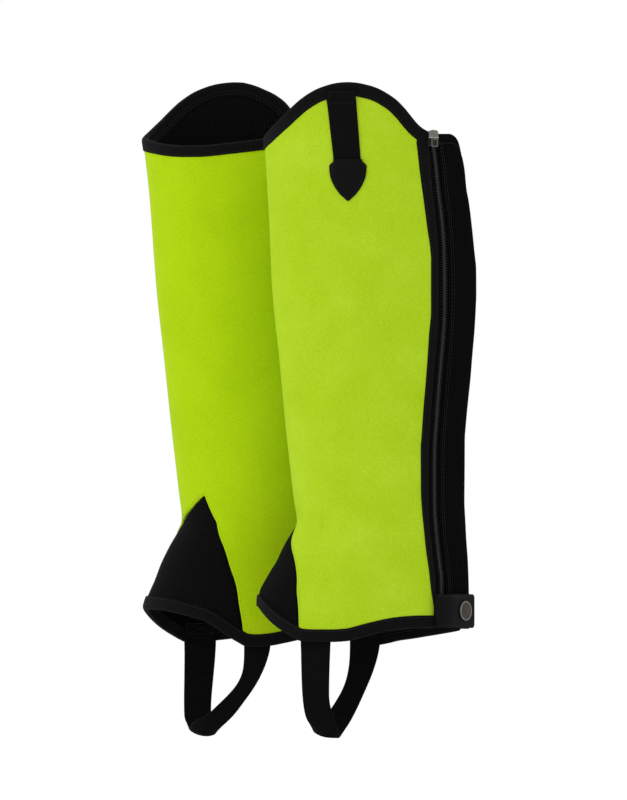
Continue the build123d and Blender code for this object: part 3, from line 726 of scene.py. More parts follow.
def columns(u, edge, low, high, rows, start=HEEL):
    """phi and z grids: each column keeps its share u of the way from the heel seam to the zip edge."""
    lo, hi = np.full(u.shape, 20.0), np.full(u.shape, 380.0)
    at = lambda z: start + u * (edge(z) - start)
    for _ in range(30):
        lo = 0.5 * lo + 0.5 * low(at(lo))
        hi = 0.5 * hi + 0.5 * high(at(hi))
    t = np.linspace(0, 1, rows)[:, None]
    z = lo + (hi - lo) * t
    return start + u * (edge(z) - start), z


def sheet_size(phi, z):
    """Flat width, length and area in metres of a cloth lying on the form."""
    p = surf(phi, z)
    a = np.linalg.norm(np.cross(p[1:, :-1] - p[:-1, :-1], p[:-1, 1:] - p[:-1, :-1]), axis=-1).sum()
    w = np.linalg.norm(np.diff(p[..., :2], axis=1), axis=-1).sum(1).max()
    h = (z.max() - z.min())
    return w * MM, h * MM, a * MM * MM


def bend(ob):
    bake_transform(ob)


def opens(ob):
    bend(ob)


def tape_section():
    return [(1.0, 0.02), (1.0, 0.45), (0.965, 0.74), (0.9, 0.82), (0.84, 0.72), (0.78, 0.84), (0.55, 0.9), (0.25, 0.88),
            (0.08, 0.66), (0.0, -0.1), (-0.03, -1.0), (-0.04, -1.9), (-0.03, -2.8), (0.0, -3.7), (0.08, -4.42),
            (0.25, -4.62), (0.55, -4.66), (0.78, -4.62), (0.84, -4.5), (0.9, -4.62), (0.965, -4.55), (1.0, -4.3),
            (1.0, -3.9), (0.5, -3.88), (0.14, -3.87), (0.14, 0.0), (0.5, 0.01)]


def edge_pair(phi, z, up, width):
    """Points width mm inside the edge points; up is +1 where the piece lies above the edge."""
    p = surf(phi, z)
    t = np.gradient(p, axis=0)
    t /= np.linalg.norm(t, axis=1, keepdims=True)
    d = np.cross(normal(phi, z), t)
    d *= np.sign(d[:, 2] * up)[:, None]
    return step(phi, z, d, width)


def corner(E, I, k):
    """Fans the last k sections so that the tape's inner edge stops at the lime's zip-side corner."""
    lim = phi_of(LIME_X(I[1]), I[1], -1)
    stop = int(np.argmax(I[0] >= lim)) if (I[0] >= lim).any() else len(lim) - 1
    n = len(E[0])
    k0 = max(0, stop - k)
    q = np.concatenate([np.arange(k0), np.linspace(k0, stop, n - k0)])
    idx = np.arange(n)
    return E, (np.interp(q, idx, I[0]), np.interp(q, idx, I[1]))


def binding_curves():
    """Matching (phi, z) curves of the tape's outside and inside edges: top, zip side and foot."""
    n = 330
    zt = 382.6
    pe = float(zip_phi(zt, bind_edge(zt)))
    p = np.linspace(HEEL - 1.5, pe, n)
    top = corner((p, TOP(p) + 0.4), edge_pair(p, TOP(p) + 0.4, -1, np.interp(p, [150, 195], [8.2, 10.0])), 40)
    zf = float(FOOT(zip_phi(9.5, bind_edge(9.5))))
    pf = float(zip_phi(zf, bind_edge(zf)))
    p = np.linspace(HEEL - 1.5, pf, n)
    foot = corner((p, FOOT(p) - 0.4), edge_pair(p, FOOT(p) - 0.4, 1, 9.2), 40)
    za, zb = top[1][1][-1], foot[1][1][-1]
    ze = np.linspace(zt + 0.4, zf - 0.4, 200)
    zi = np.linspace(za, zb, 200)
    side_e = (zip_phi(ze, bind_edge(ze)), ze)
    side_i = (phi_of(LIME_X(zi), zi, -1), zi)
    top[0][0][-1], foot[0][0][-1] = side_e[0][0], side_e[0][-1]
    e = np.concatenate([np.stack(top[0]), np.stack(side_e)[:, 1:-1], np.stack(foot[0])[:, ::-1]], 1)
    i = np.concatenate([np.stack(top[1]), np.stack(side_i)[:, 1:-1], np.stack(foot[1])[:, ::-1]], 1)
    return e, i


BE, BI = binding_curves()


def set_form(side):
    """The two gaiters of the pair hang a little differently at the front."""
    global FRONT, TOP, FOOT, GUS, GUS_LO, GUS_HI, BE, BI
    FRONT = FRONT_OF[side]
    TOP = round_the_form(lifted(DOME, DOME_LIFT[side]), RIM, 379.2)
    FOOT = round_the_form(lifted(FOOT_OUT, SOLE_LIFT[side]), lifted(FOOT_IN, HEEL_LIFT[side]), 25.6)
    GUS, GUS_LO, GUS_HI = gusset_line()
    BE, BI = binding_curves()


def along(q, off):
    """Points and normals of the line at share q across the binding tape, off mm outside the form."""
    p, z = BE[0] + (BI[0] - BE[0]) * q, BE[1] + (BI[1] - BE[1]) * q
    return surf(p, z, off), normal(p, z)


def on_form(x, z, side=-1):
    return phi_of(np.asarray(x, float), np.asarray(z, float), side), np.asarray(z, float)


STRAP_PATH = [(-41.6, 4), (-41.6, -8), (-41.3, -18), (-39.3, -29), (-37.4, -39), (-34.9, -50), (-30.8, -60),
              (-24.4, -66.4), (-16.5, -71.2), (-8, -73.1), (0, -73.3), (8, -73.1), (16.5, -71.2), (24.4, -66.6),
              (31.2, -60.2), (35.6, -50.5), (38.2, -38.6), (40.6, -27.4), (42.3, -16), (42.6, -6), (42.6, 4)]


def strap(side):
    """Centre path (y, z) of the stirrup elastic and the x of its two edges along it."""
    path = smooth_path(STRAP_PATH, 220)
    z, y = path[:, 1], path[:, 0]
    if side == "left":
        ol = [(-73.4, -42.6), (-69, -44.6), (-62, -47.8), (-54, -49.6), (-46, -50.8), (-30, -51.7), (-7, -52.2), (6, -52.3)]
        orr = [(-73.4, -23.2), (-70, -23.8), (-62, -26.4), (-53, -29.2), (-45.5, -30.9), (-22, -30.6), (-7, -30.0), (6, -29.8)]
        il = [(-73.4, -42.6), (-71, -42.0), (-67, -40.0), (-62, -36.4), (-50, -28.2), (-42, -23.2), (-32, -18.6),
              (-16, -15.6), (-5, -15.2), (6, -15.3)]
        ir = [(-73.4, -23.2), (-71, -21.6), (-67, -18.8), (-62, -15.4), (-50, -9.0), (-38, -3.6), (-24, 2.3), (-8, 6.8), (6, 8.4)]
    else:
        ol = [(-73.4, -50.0), (-69, -51.6), (-62, -53.4), (-54, -53.9), (-46, -53.9), (-30, -53.5), (-7, -53.0), (6, -52.8)]
        orr = [(-73.4, -30.6), (-70, -31.0), (-62, -32.6), (-53, -33.6), (-45.5, -33.2), (-22, -30.8), (-7, -29.4), (6, -29.0)]
        il = [(-73.4, -50.0), (-71, -49.4), (-67, -46.6), (-62, -41.8), (-52.9, -32.8), (-45, -24.4), (-37.7, -16.8),
              (-30, -11.6), (-22.6, -8.9), (-7.5, -8.0), (6, -8.0)]
        ir = [(-73.4, -30.6), (-71, -29.0), (-68, -26.0), (-65, -23.2), (-60.4, -19.4), (-52.9, -13.4), (-45, -7.4), (-37.7, -1.8),
              (-30, 2.8), (-22.6, 6.6), (-7.5, 11.6), (6, 13.0)]
    ol, orr, il, ir = [pchip(q) for q in (ol, orr, il, ir)]
    k = int(np.argmin(z))
    idx = np.arange(len(z))
    xl = np.where(idx <= k, ol(z), il(z))
    xr = np.where(idx <= k, orr(z), ir(z))
    ker = np.ones(15) / 15
    sm = lambda a: np.convolve(np.pad(a, 7, mode="edge"), ker, mode="valid")
    return y, z, sm(xl), sm(xr)


def build(side):
    set_form(side)
    B = lambda n: f"{side}_{n}"
    G = B("gaiter")
    O = B("outer_side")
    made = []

    # lime panel: one sheet from the heel seam round the front to the zip
    edge = lambda z: zip_phi(z, -6.4)
    u = np.linspace(0, 1, 321)
    phi, z = columns(u, edge, lime_low, lambda p: TOP(p) - 1.6, 121)
    lime = shell(B("lime_panel"), phi, z, 0.0, -3.0, side, M_LIME, edge=0.35)
    # weight of the outer face, where the suede takes the paler lime of its painted sheen
    at = lime.data.attributes.new("outer_face_painted_sheen", "FLOAT", "POINT")
    c = (phi.ravel() - 170) / 40
    w = np.clip(c, 0, 1)
    w = w * w * (3 - 2 * w)
    at.data.foreach_set("value", np.concatenate([w, w]).astype(np.float32))
    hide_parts(B("inner_panel"), B("outer_panel"))
    opens(lime)
    lw, lh, la = sheet_size(phi, z)

    # lining
    u2 = np.linspace(0, 1, 181)
    low = lambda p: np.where(GUS(p) > -90, np.maximum(GUS(p) + 3.4, FOOT(p) + 2), FOOT(p) + 2)
    p2, z2 = columns(u2, lambda q: zip_phi(q, -6.8), low, lambda p: TOP(p) - 2.0, 81, start=HEEL - 1.6)
    lining = shell(B("lining"), p2, z2, -3.12, -3.8, side, M_LINE)
    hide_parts(B("inner_lining"), B("outer_lining"))
    opens(lining)
    lnw, lnh, lna = sheet_size(p2, z2)

    # instep gusset, its edge sewn under the lime panel
    gp = np.linspace(GUS_LO - 3.5, GUS_HI + 3.5, 161)
    t = np.linspace(0, 1, 71)[:, None]
    gl = np.clip(gp, GUS_LO + 0.05, GUS_HI - 0.05)
    lo = FOOT(gp) + 1.6
    hi = np.maximum(GUS(gl) + 4.2, lo + 6.0)
    gz = lo + (hi - lo) * t
    gph = np.broadcast_to(gp, gz.shape)
    inside = GUS(np.clip(gph, GUS_LO + 0.05, GUS_HI - 0.05)) - gz
    gu, gv = np.gradient(GUS(gl), gp), 1.0
    slope = np.sqrt(1 + (gu / 0.95) ** 2)
    dist = inside / slope[None, :]
    dist = np.minimum(dist, (gph - GUS_LO) * 0.95)
    dist = np.minimum(dist, (GUS_HI - gph) * 0.95)
    k = np.clip((dist + 1.0) / 3.0, 0, 1)
    k = k * k * (3 - 2 * k)
    go = -3.1 + k * 2.2 + 0.5 * np.clip(dist / 25, 0, 1)
    gus = shell(B("instep_gusset_cloth"), gph, gz, go, go - 1.2, side, M_GUS, edge=0.1)
    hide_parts(B("instep_gusset"))
    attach(gus, G)
    gw, gh, ga = sheet_size(gph, gz)

    # binding tape
    prof = tape_section()
    rows = np.stack([surf(BE[0] + (BI[0] - BE[0]) * q, BE[1] + (BI[1] - BE[1]) * q, o) for q, o in prof], 1)
    s = np.concatenate([[0], np.cumsum(np.linalg.norm(np.diff(rows[:, 7], axis=0), axis=1))])
    v = np.concatenate([[0], np.cumsum(np.linalg.norm(np.diff(rows[100], axis=0), axis=1))])
    uv = np.stack(np.broadcast_arrays(s[:, None], v[None, :]), -1)
    tape = tube(B("binding_tape"), rows, side, M_BIND, uv=uv, sharp=60)
    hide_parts(B("inner_top_binding"), B("inner_foot_binding"), B("outer_binding"))
    opens(tape)
    rowst = []
    for q, off in ((0.84, 0.74), (0.84, -4.52)):
        pts, nr = along(q, off)
        rowst.append(stitches(B("s"), pts, nr if off > 0 else -nr, side, M_THREAD, pitch=3.0, length=2.3, r=0.26, lift=0.12))
    pts, nr = along(0.62, -4.66)
    rowst.append(stitches(B("s"), pts, -nr, side, M_THREAD, pitch=3.0, length=2.3, r=0.26, lift=0.12))
    st = join(B("binding_stitching"), rowst)
    opens(st)

    # seam stitching of the lime panel over the gusset
    pp = np.linspace(GUS_LO + 1.2, GUS_HI - 1.0, 240)
    zz = GUS(pp)
    ep = edge_pair(pp, zz, 1, 1.5)
    keep = ep[1] > FOOT(ep[0]) + 9.0
    seam = stitches(B("gusset_seam_stitching"), surf(ep[0], ep[1], 0.0)[keep], normal(ep[0], ep[1])[keep], side, M_SEAM,
                    pitch=2.8, length=2.1, r=0.2, lift=0.05)
    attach(seam, G)

    # ribbed stretch panel at the back
    ribs = 33
    ncol = ribs * 8 + 1
    ue = np.linspace(0, 1, ncol)
    a = lambda q: zip_phi(q, 5.0) - 360
    high = lambda p: 382.3 - 8.5 * (1 - np.minimum(1, np.abs(p) / 24)) ** 1.6
    lowf = lambda p: 8.4 + 0 * p
    pe, zel = columns(ue, a, lowf, high, 111, start=HEEL + 2.5)
    ridge = 0.26 * np.cos(ue * ribs * math.tau)
    hem = np.clip(1 - np.abs(zel - (zel[-1] - 7.0)) / 1.2, 0, 1) + np.clip(1 - np.abs(zel - (zel[0] + 6.5)) / 1.2, 0, 1)
    oo = -0.35 + ridge[None, :] - 0.45 * hem
    m_e = np.stack([np.broadcast_to(ue * ribs * 2.2, zel.shape), zel], -1)
    el = shell(B("stretch_panel"), pe, zel, oo, -2.4, side, M_ELAS, uv=m_e, edge=0.4, sharp=60)
    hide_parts(B("back_elastic"))
    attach(el, G)
    ew, eh, ea = sheet_size(pe, zel)
    rr = []
    for j in (108, ):
        pass
    for zrow, pr in ((zel[-1] - 7.0, pe[-1]), (zel[0] + 6.5, pe[0])):
        rr.append(stitches(B("s"), surf(pr, zrow, -0.35), normal(pr, zrow), side, M_THREAD, pitch=3.0, length=2.2, r=0.24))
    zs = np.linspace(14, 376, 200)
    for off in (7.2, 9.4):
        ps = zip_phi(zs, off)
        rr.append(stitches(B("s"), surf(ps, zs, -0.1), normal(ps, zs), side, M_THREAD, pitch=3.0, length=2.2, r=0.24))
    ps = np.full(zs.shape, HEEL - 0.4)
    rr.append(stitches(B("s"), surf(ps + 3.4, zs, 0.0), normal(ps + 3.4, zs), side, M_SEAM, pitch=3.0, length=2.2, r=0.2))
    for dx in (-1, 1):
        xx = np.array([60.2, 63.8]) if dx > 0 else np.array([63.8, 60.2])
        px, pz = on_form(xx, np.array([9.6, 12.4]))
        rr.append(stitches(B("s"), surf(px, pz, 0.1), normal(px, pz), side, M_THREAD, pitch=1.2, length=1.0, r=0.2))
    es = join(B("stretch_panel_stitching"), rr)
    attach(es, G)

    # zip: tapes and the two rows of coil
    zt = np.linspace(10.5, 382.0, 140)[:, None]
    for who, sgn, body in (("front", -1, O), ("rear", 1, G)):
        dd = np.linspace(0.7, 5.7, 12)[None, :] * sgn
        zp = zip_phi(zt, dd)
        zq = np.broadcast_to(zt, zp.shape)
        uvz = np.stack([np.broadcast_to(dd, zp.shape), zq], -1)
        tp = shell(B(f"zip_tape_{who}_cloth"), zp, zq, -1.0, -1.6, side, M_TAPE, uv=uvz)
        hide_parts(B(f"zip_tape_{who}"))
        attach(tp, body)
        zc = np.arange(21.4, 373.0, 1.9) + (0.95 if sgn > 0 else 0.0)
        c0 = surf(zip_phi(zc), zc, 0.05)
        tt, nn, ss = zip_dir(zc)
        vs, fs, leg_shade_index = [], [], []
        prof2 = [(-0.45, 0.45, 0.1), (-0.1, 0.9, 0.12), (0.7, 0.95, 0.05), (1.35, 1.0, 0.1), (1.75, 1.05, 0.0), (2.1, 0.6, -0.3)]
        for i in range(len(zc)):
            k0 = len(vs)
            for along_s, rad, up in prof2:
                for g in range(8):
                    an = g * math.tau / 8
                    vs.append(c0[i] + ss[i] * along_s * sgn + tt[i] * math.cos(an) * 0.42 * rad + nn[i] * (math.sin(an) * 0.62 * rad + up))
            for r_ in range(len(prof2) - 1):
                for g in range(8):
                    h_ = (g + 1) % 8
                    fs.append((k0 + r_ * 8 + g, k0 + r_ * 8 + h_, k0 + (r_ + 1) * 8 + h_, k0 + (r_ + 1) * 8 + g))
            fs.append(tuple(k0 + g for g in range(7, -1, -1)))
            fs.append(tuple(k0 + (len(prof2) - 1) * 8 + g for g in range(8)))
            # the legs (the 24 faces after the first 16, and the end cap) take the dark copy of the coil nylon: painted
            # shade
            leg_shade_index += [0] * 16 + [1] * 24 + [0, 1]
        row = make(B(f"zip_coil_{who}"), np.array(vs), fs, side, M_COIL)
        row.data.materials.append(M_LEGS_SHADED)
        row.data.polygons.foreach_set("material_index", leg_shade_index)
        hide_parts(B(f"zip_row_{who}"))
        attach(row, body)
        zl = np.linspace(22, 373, 160)
        pl = zip_phi(zl, 2.9 * sgn)
        zs2 = stitches(B(f"zip_stitching_{who}"), surf(pl, zl, -1.0), normal(pl, zl), side, M_THREAD, pitch=2.2, length=1.7, r=0.2)
        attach(zs2, body)

    # elastic tab on the outer side and the leather patch over its end
    zw = np.linspace(352.0, 415.6, 60)[:, None]
    vw = np.linspace(0, 1, 25)[None, :]
    xl = np.interp(zw, [352, 365.4, 411.5, 416], [-27.0, -27.7, -32.9, -33.4])
    xr = np.interp(zw, [352, 365.4, 411.5, 416], [-6.6, -7.2, -10.8, -11.0])
    xw = xl + (xr - xl) * vw
    pw = phi_of(xw, zw, -1)
    zwq = np.broadcast_to(zw, pw.shape)
    lift = np.interp(zw, [352, 402.0, 407.0, 416], [0.06, 0.08, 1.0, 1.0]) + 0 * vw
    uvw = np.stack([np.broadcast_to(vw * 21.3, pw.shape), zwq], -1)
    round_w = 0.35 * (1 - np.clip(np.minimum(vw, 1 - vw) * 21 / 1.0, 0, 1))
    webb = shell(B("tab_webbing"), pw, zwq, lift + 1.35 - round_w, lift, side, M_WEB, uv=uvw)
    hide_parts(B("top_tab"))
    opens(webb)
    half = pchip([(331.4, 0.3), (332.2, 1.3), (334, 3.2), (336, 5.5), (339, 7.9), (342.2, 10.0), (345.4, 11.6),
                  (348.6, 12.9), (352, 13.6), (354.9, 13.9), (357.6, 14.0), (358.9, 13.6), (360.2, 12.2),
                  (361.4, 10.9), (363.4, 10.6)])
    zp_ = np.concatenate([np.linspace(331.4, 334.0, 9), np.linspace(334.6, 363.2, 44)])[:, None]
    vp = np.linspace(-1, 1, 31)[None, :]
    xp = -16.6 + vp * half(zp_)
    ppx = phi_of(xp, zp_, -1)
    zpq = np.broadcast_to(zp_, ppx.shape)
    end = zp_ - 331.3
    up = np.where((np.abs(vp * half(zp_)) < 10.9), 1.0, 0.0) * np.clip((zp_ - 350.5) / 3.0, 0, 1)
    for _ in range(3):
        up[1:-1, 1:-1] = (up[:-2, 1:-1] + up[2:, 1:-1] + up[1:-1, :-2] + up[1:-1, 2:] + 2 * up[1:-1, 1:-1]) / 6
    em = np.minimum((1 - np.abs(vp)) * np.maximum(half(zp_), 1), np.minimum(end, 363.6 - zp_))
    groove = 0.22 * np.exp(-((em - 2.0) / 0.55) ** 2)
    crown = 0.5 * (1 - np.exp(-np.clip(em, 0, 9) / 0.7))
    patch = shell(B("spear_patch_leather"), ppx, zpq, 0.95 + crown - groove + up * 1.3, 0.08 + up * 1.3, side, M_LEATHER)
    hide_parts(B("spear_patch"))
    opens(patch)
    zz_ = np.concatenate([np.linspace(361.4, 334.4, 60), np.linspace(334.4, 361.4, 60)])
    sg = np.concatenate([-np.ones(60), np.ones(60)])
    xx_ = -16.6 + sg * np.maximum(half(zz_) - 2.0, 0.0)
    px_, _ = on_form(xx_, zz_)
    o_ = 1.4 + np.interp(zz_, [352, 356], [0, 1.3]) * (np.abs(xx_ + 16.6) < 10.9)
    tabst = [stitches(B("s"), surf(px_, zz_, o_), normal(px_, zz_), side, M_THREAD, pitch=2.7, length=2.0, r=0.24)]
    for xa in (-30.4, -12.6):
        zb = np.linspace(405.5, 413.5, 12)
        xb = xa + np.interp(zb, [405, 414], [0.3, -0.3])
        pb, _ = on_form(xb, zb)
        tabst.append(stitches(B("s"), surf(pb, zb, 2.35), normal(pb, zb), side, M_THREAD, pitch=2.0, length=1.6, r=0.22))
    for zc_ in (405.6, 413.6):
        xb = np.linspace(-30.4, -12.6, 20)
        pb, _ = on_form(xb, np.full(20, zc_))
        tabst.append(stitches(B("s"), surf(pb, zc_, 2.35), normal(pb, np.full(20, zc_)), side, M_THREAD, pitch=2.0, length=1.6, r=0.22))
    tst = join(B("tab_stitching"), tabst)
    opens(tst)

    # leather snap tab
    path = smooth_path([(49.4, -40.6), (52.4, -39.2), (56.6, -36.5), (60.4, -33.4), (68.4, -22.9), (71.4, -18.8), (77.2, -10.6), (78.5, -8.7)], 90)
    s = np.concatenate([[0], np.cumsum(np.linalg.norm(np.diff(path, axis=0), axis=1))])
    tn = np.gradient(path, axis=0)
    tn /= np.linalg.norm(tn, axis=1, keepdims=True)
    out = np.stack([tn[:, 1], -tn[:, 0]], 1)
    rr_ = 3.0
    x_ = np.clip(s - (s[-1] - rr_), 0, rr_)
    cut = rr_ - np.sqrt(np.maximum(rr_ ** 2 - x_ ** 2, 0))
    cut = np.minimum(cut, 2.8)
    v_ = np.linspace(0, 1, 33)
    zl_, zh_ = 9.0 + cut, 34.6 - cut
    Z = zl_[:, None] + (zh_ - zl_)[:, None] * v_[None, :]
    e1 = np.minimum(np.minimum(Z - zl_[:, None], zh_[:, None] - Z), np.maximum(s[-1] - s, 0)[:, None])
    th = 0.9 - 0.45 * np.exp(-e1 / 0.6) - 0.2 * np.exp(-((e1 - 1.9) / 0.5) ** 2)
    P = np.concatenate([path, np.zeros((90, 1))], 1)[:, None, :] + np.array([0, 0, 1.0]) * Z[..., None]
    N = np.concatenate([out, np.zeros((90, 1))], 1)[:, None, :]
    A_, C_ = P + N * th[..., None], P - N * (0.9 - 0.3 * np.exp(-e1 / 0.6))[..., None]
    m_, n_ = Z.shape
    vts = np.concatenate([A_.reshape(-1, 3), C_.reshape(-1, 3)])
    fcs = grid_faces(m_, n_) + [tuple(reversed(q)) for q in grid_faces(m_, n_, m_ * n_)]
    ring = [j for j in range(n_)] + [i * n_ + n_ - 1 for i in range(1, m_)] + [(m_ - 1) * n_ + j for j in range(n_ - 2, -1, -1)] \
        + [i * n_ for i in range(m_ - 2, 0, -1)]
    for k_, i in enumerate(ring):
        j = ring[(k_ + 1) % len(ring)]
        fcs.append((i, j, j + m_ * n_, i + m_ * n_))
    tab = make(B("snap_tab_leather"), vts, fcs, side, M_LEATHER, sharp=60)
    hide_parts(B("snap_tab"))
    bend(tab)
    inner_s = s[-1] - 1.9
    line = [(q, 9.0 + 1.9) for q in np.linspace(1.5, inner_s - 2.0, 50)]
    line += [(inner_s - 2.0 + 2.0 * math.sin(a_), 9.0 + 1.9 + 2.0 * (1 - math.cos(a_))) for a_ in np.linspace(0, math.pi / 2, 12)]
    line += [(inner_s, q) for q in np.linspace(13.2, 30.4, 14)]
    line += [(inner_s - 2.0 + 2.0 * math.cos(a_), 34.6 - 1.9 - 2.0 * (1 - math.sin(a_))) for a_ in np.linspace(0, math.pi / 2, 12)]
    line += [(q, 34.6 - 1.9) for q in np.linspace(inner_s - 2.0, 1.5, 50)]
    line = np.array(line)
    lx = np.stack([np.interp(line[:, 0], s, path[:, k_]) for k_ in range(2)] + [line[:, 1]], 1)
    ln = np.stack([np.interp(line[:, 0], s, out[:, k_]) for k_ in range(2)] + [np.zeros(len(line))], 1)
    ts = stitches(B("snap_tab_stitching"), lx + ln * 0.75, ln, side, M_THREAD, pitch=2.7, length=2.0, r=0.24)
    bend(ts)

    # zip slider: two plates on a bridge, rounded front block, pull loop
    ts = np.array([-4.2, 1.0, 356.5])
    ts /= np.linalg.norm(ts)
    ss_ = np.array([0.83, 0.555, 0.0])
    ss_ -= ts * (ss_ @ ts)
    ss_ /= np.linalg.norm(ss_)
    ns = np.cross(ss_, ts)
    ns *= -np.sign(ns[1])
    pivot = np.array([50.886, -36.581, 378.335])
    c_ = np.array([48.7, -33.3, 377.5]) + ts * 1.5 - ss_ * 1.9

    def plate(outline, n0, n1, bev, mt_=M_NICKEL):
        """Rounded plate: outline is (across, up) points, n0 to n1 its depth outwards."""
        o_ = np.array(outline, float)
        mid_ = o_.mean(0)
        lv = [(n0, 0.0)] + [(n1 - bev * (1 - math.sin(a_)), bev * (1 - math.cos(a_))) for a_ in np.linspace(0, math.pi / 2, 6)]
        rows_s = []
        for d_, ins in lv:
            v2 = o_ - mid_
            ln_ = np.linalg.norm(v2, axis=1, keepdims=True)
            q2 = mid_ + v2 * (1 - ins / np.maximum(ln_, 1e-6))
            rows_s.append(c_ + q2[:, :1] * ss_ + q2[:, 1:] * ts + ns * d_)
        return tube(B("p"), np.stack(rows_s), side, mt_, sharp=40)

    def rounded(w_, h_, x0, y0, r_, n=7):
        pts_ = []
        for cx_, cy_, a0 in ((w_ - r_, h_ - r_, 0), (-w_ + r_, h_ - r_, 90), (-w_ + r_, -h_ + r_, 180), (w_ - r_, -h_ + r_, 270)):
            for a_ in np.linspace(a0, a0 + 90, n):
                pts_.append((x0 + cx_ + r_ * math.cos(math.radians(a_)), y0 + cy_ + r_ * math.sin(math.radians(a_))))
        return pts_

    def taper(w0, w1, top_):
        return [(w0, top_ - 0.7), (w0 - 0.7, top_), (-w0 + 0.7, top_), (-w0, top_ - 0.7), (-w0, 0.6), (-w0 + 0.4, -0.6), (-w1 - 0.2, -2.2),
                (-w1, -5.4), (-w1 + 0.5, -6.0), (w1 - 0.5, -6.0), (w1, -5.4), (w1 + 0.2, -2.2), (w0 - 0.4, -0.6), (w0, 0.6)]

    arch = [(q_[0] * 1.2 - 0.8, q_[1]) for q_ in
            [(3.5, 0.1), (3.5, 4.3), (3.3, 5.0), (2.8, 5.5), (1.9, 5.9), (0.9, 6.1), (0, 6.15), (-0.9, 6.1), (-1.9, 5.9), (-2.8, 5.5),
             (-3.3, 5.0), (-3.5, 4.3), (-3.5, 0.1)]]
    # the back plate and the bridge take the dark nickel copy (painted shade), the lip the pale one (painted highlight)
    parts_s = [plate(taper(2.9, 2.5, 5.4), -2.4, -1.5, 0.3), plate(taper(3.3, 2.7, 5.8), 1.4, 2.4, 0.35, M_SHADE),
               plate(arch, 2.2, 3.4, 0.7),
               plate(rounded(4.35, 0.42, -0.8, 0.35, 0.4), 2.2, 3.55, 0.3, M_LIP_HIGHLIGHT),
               plate(rounded(0.8, 2.4, 0, 3.2, 0.7), -2.0, 1.9, 0.3, M_SHADE),
               plate(rounded(0.75, 1.0, -0.8, -0.75, 0.6), 2.2, 4.75, 0.6)]
    sl = join(B("zip_slider_body"), parts_s)
    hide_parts(B("slider"))
    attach(sl, B("zip_slider"))

    # the pull: a small flat ring hanging from the slider's nose
    ring_s = []
    q0 = pivot - ss_ * 2.7

    def band_ring(outer_o, inner_o, n0, n1):
        """Flat ring between two outlines given as (across, up) points about the hinge line."""
        rows_r = [q0 + np.array(o_)[:, :1] * ss_ + np.array(o_)[:, 1:] * ts + ns * d_
                  for o_, d_ in ((outer_o, n0), (outer_o, n1), (inner_o, n1), (inner_o, n0), (outer_o, n0))]
        return tube(B("p"), np.stack(rows_r), side, M_PULL, sharp=40, caps=False)

    out_ring = rounded(3.1, 3.3, 0, -2.85, 1.1)
    in_ring = rounded(1.95, 2.15, 0, -2.75, 0.7)
    ring_s.append(band_ring(out_ring, in_ring, -0.38, 0.38))
    pl = join(B("zip_pull_ring"), ring_s)
    bm = bmesh.new()
    bm.from_mesh(pl.data)
    bmesh.ops.remove_doubles(bm, verts=bm.verts, dist=1e-7)
    bmesh.ops.recalc_face_normals(bm, faces=bm.faces)
    bm.to_mesh(pl.data)
    bm.free()
    bv = pl.modifiers.new("soft_edges", "BEVEL")
    bv.width = 0.0002
    bv.segments = 2
    bv.limit_method = "ANGLE"
    bv.angle_limit = math.radians(40)
    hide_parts(B("pull_tab"))
    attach(pl, B("zip_pull"))

    # snap cap: a pressed rim round a sunk face
    at_ = np.array([71.1, -19.2, 22.0])
    nn_ = np.array([0.82, -0.572, 0.0])
    nn_ /= np.linalg.norm(nn_)
    uu_ = np.array([0.0, 0.0, 1.0])
    ww_ = np.cross(nn_, uu_)
    caps = []
    # the face takes the dark metal of the painted reflection, the rim the plain metal
    for tag, prof_, mt_ in (
            ("rim", [(7.35, 0.92), (7.5, 1.25), (7.45, 1.65), (7.2, 2.0), (6.85, 2.16), (6.5, 2.04), (6.3, 1.75), (6.2, 1.45),
                     (6.2, 0.95)], M_RIM),
            ("face", [(6.25, 1.0), (6.25, 1.5), (5.9, 1.6), (4.9, 1.74), (3.6, 1.92), (2.2, 2.05), (0.9, 2.1), (0.02, 2.12)], M_STUD_FACE_REFLECTION)):
        ring_ = np.arange(64) * math.tau / 64
        rows_c = np.stack([np.stack([at_ + nn_ * h_ + (uu_ * math.cos(q) + ww_ * math.sin(q)) * r_ for q in ring_]) for r_, h_ in prof_])
        if tag == "rim":
            rows_c = np.concatenate([rows_c, rows_c[:1]])
        caps.append(tube(B("c"), rows_c, side, mt_, closed=False, caps=(tag == "face")))
    cap = join(B("snap_cap_disc"), caps)
    bm = bmesh.new()
    bm.from_mesh(cap.data)
    bmesh.ops.remove_doubles(bm, verts=bm.verts, dist=1e-7)
    bmesh.ops.recalc_face_normals(bm, faces=bm.faces)
    bm.to_mesh(cap.data)
    bm.free()
    cap.data.polygons.foreach_set("use_smooth", [True] * len(cap.data.polygons))
    cap.data.set_sharp_from_angle(angle=math.radians(55))
    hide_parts(B("snap_cap"))
    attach(cap, B("snap_tab"))

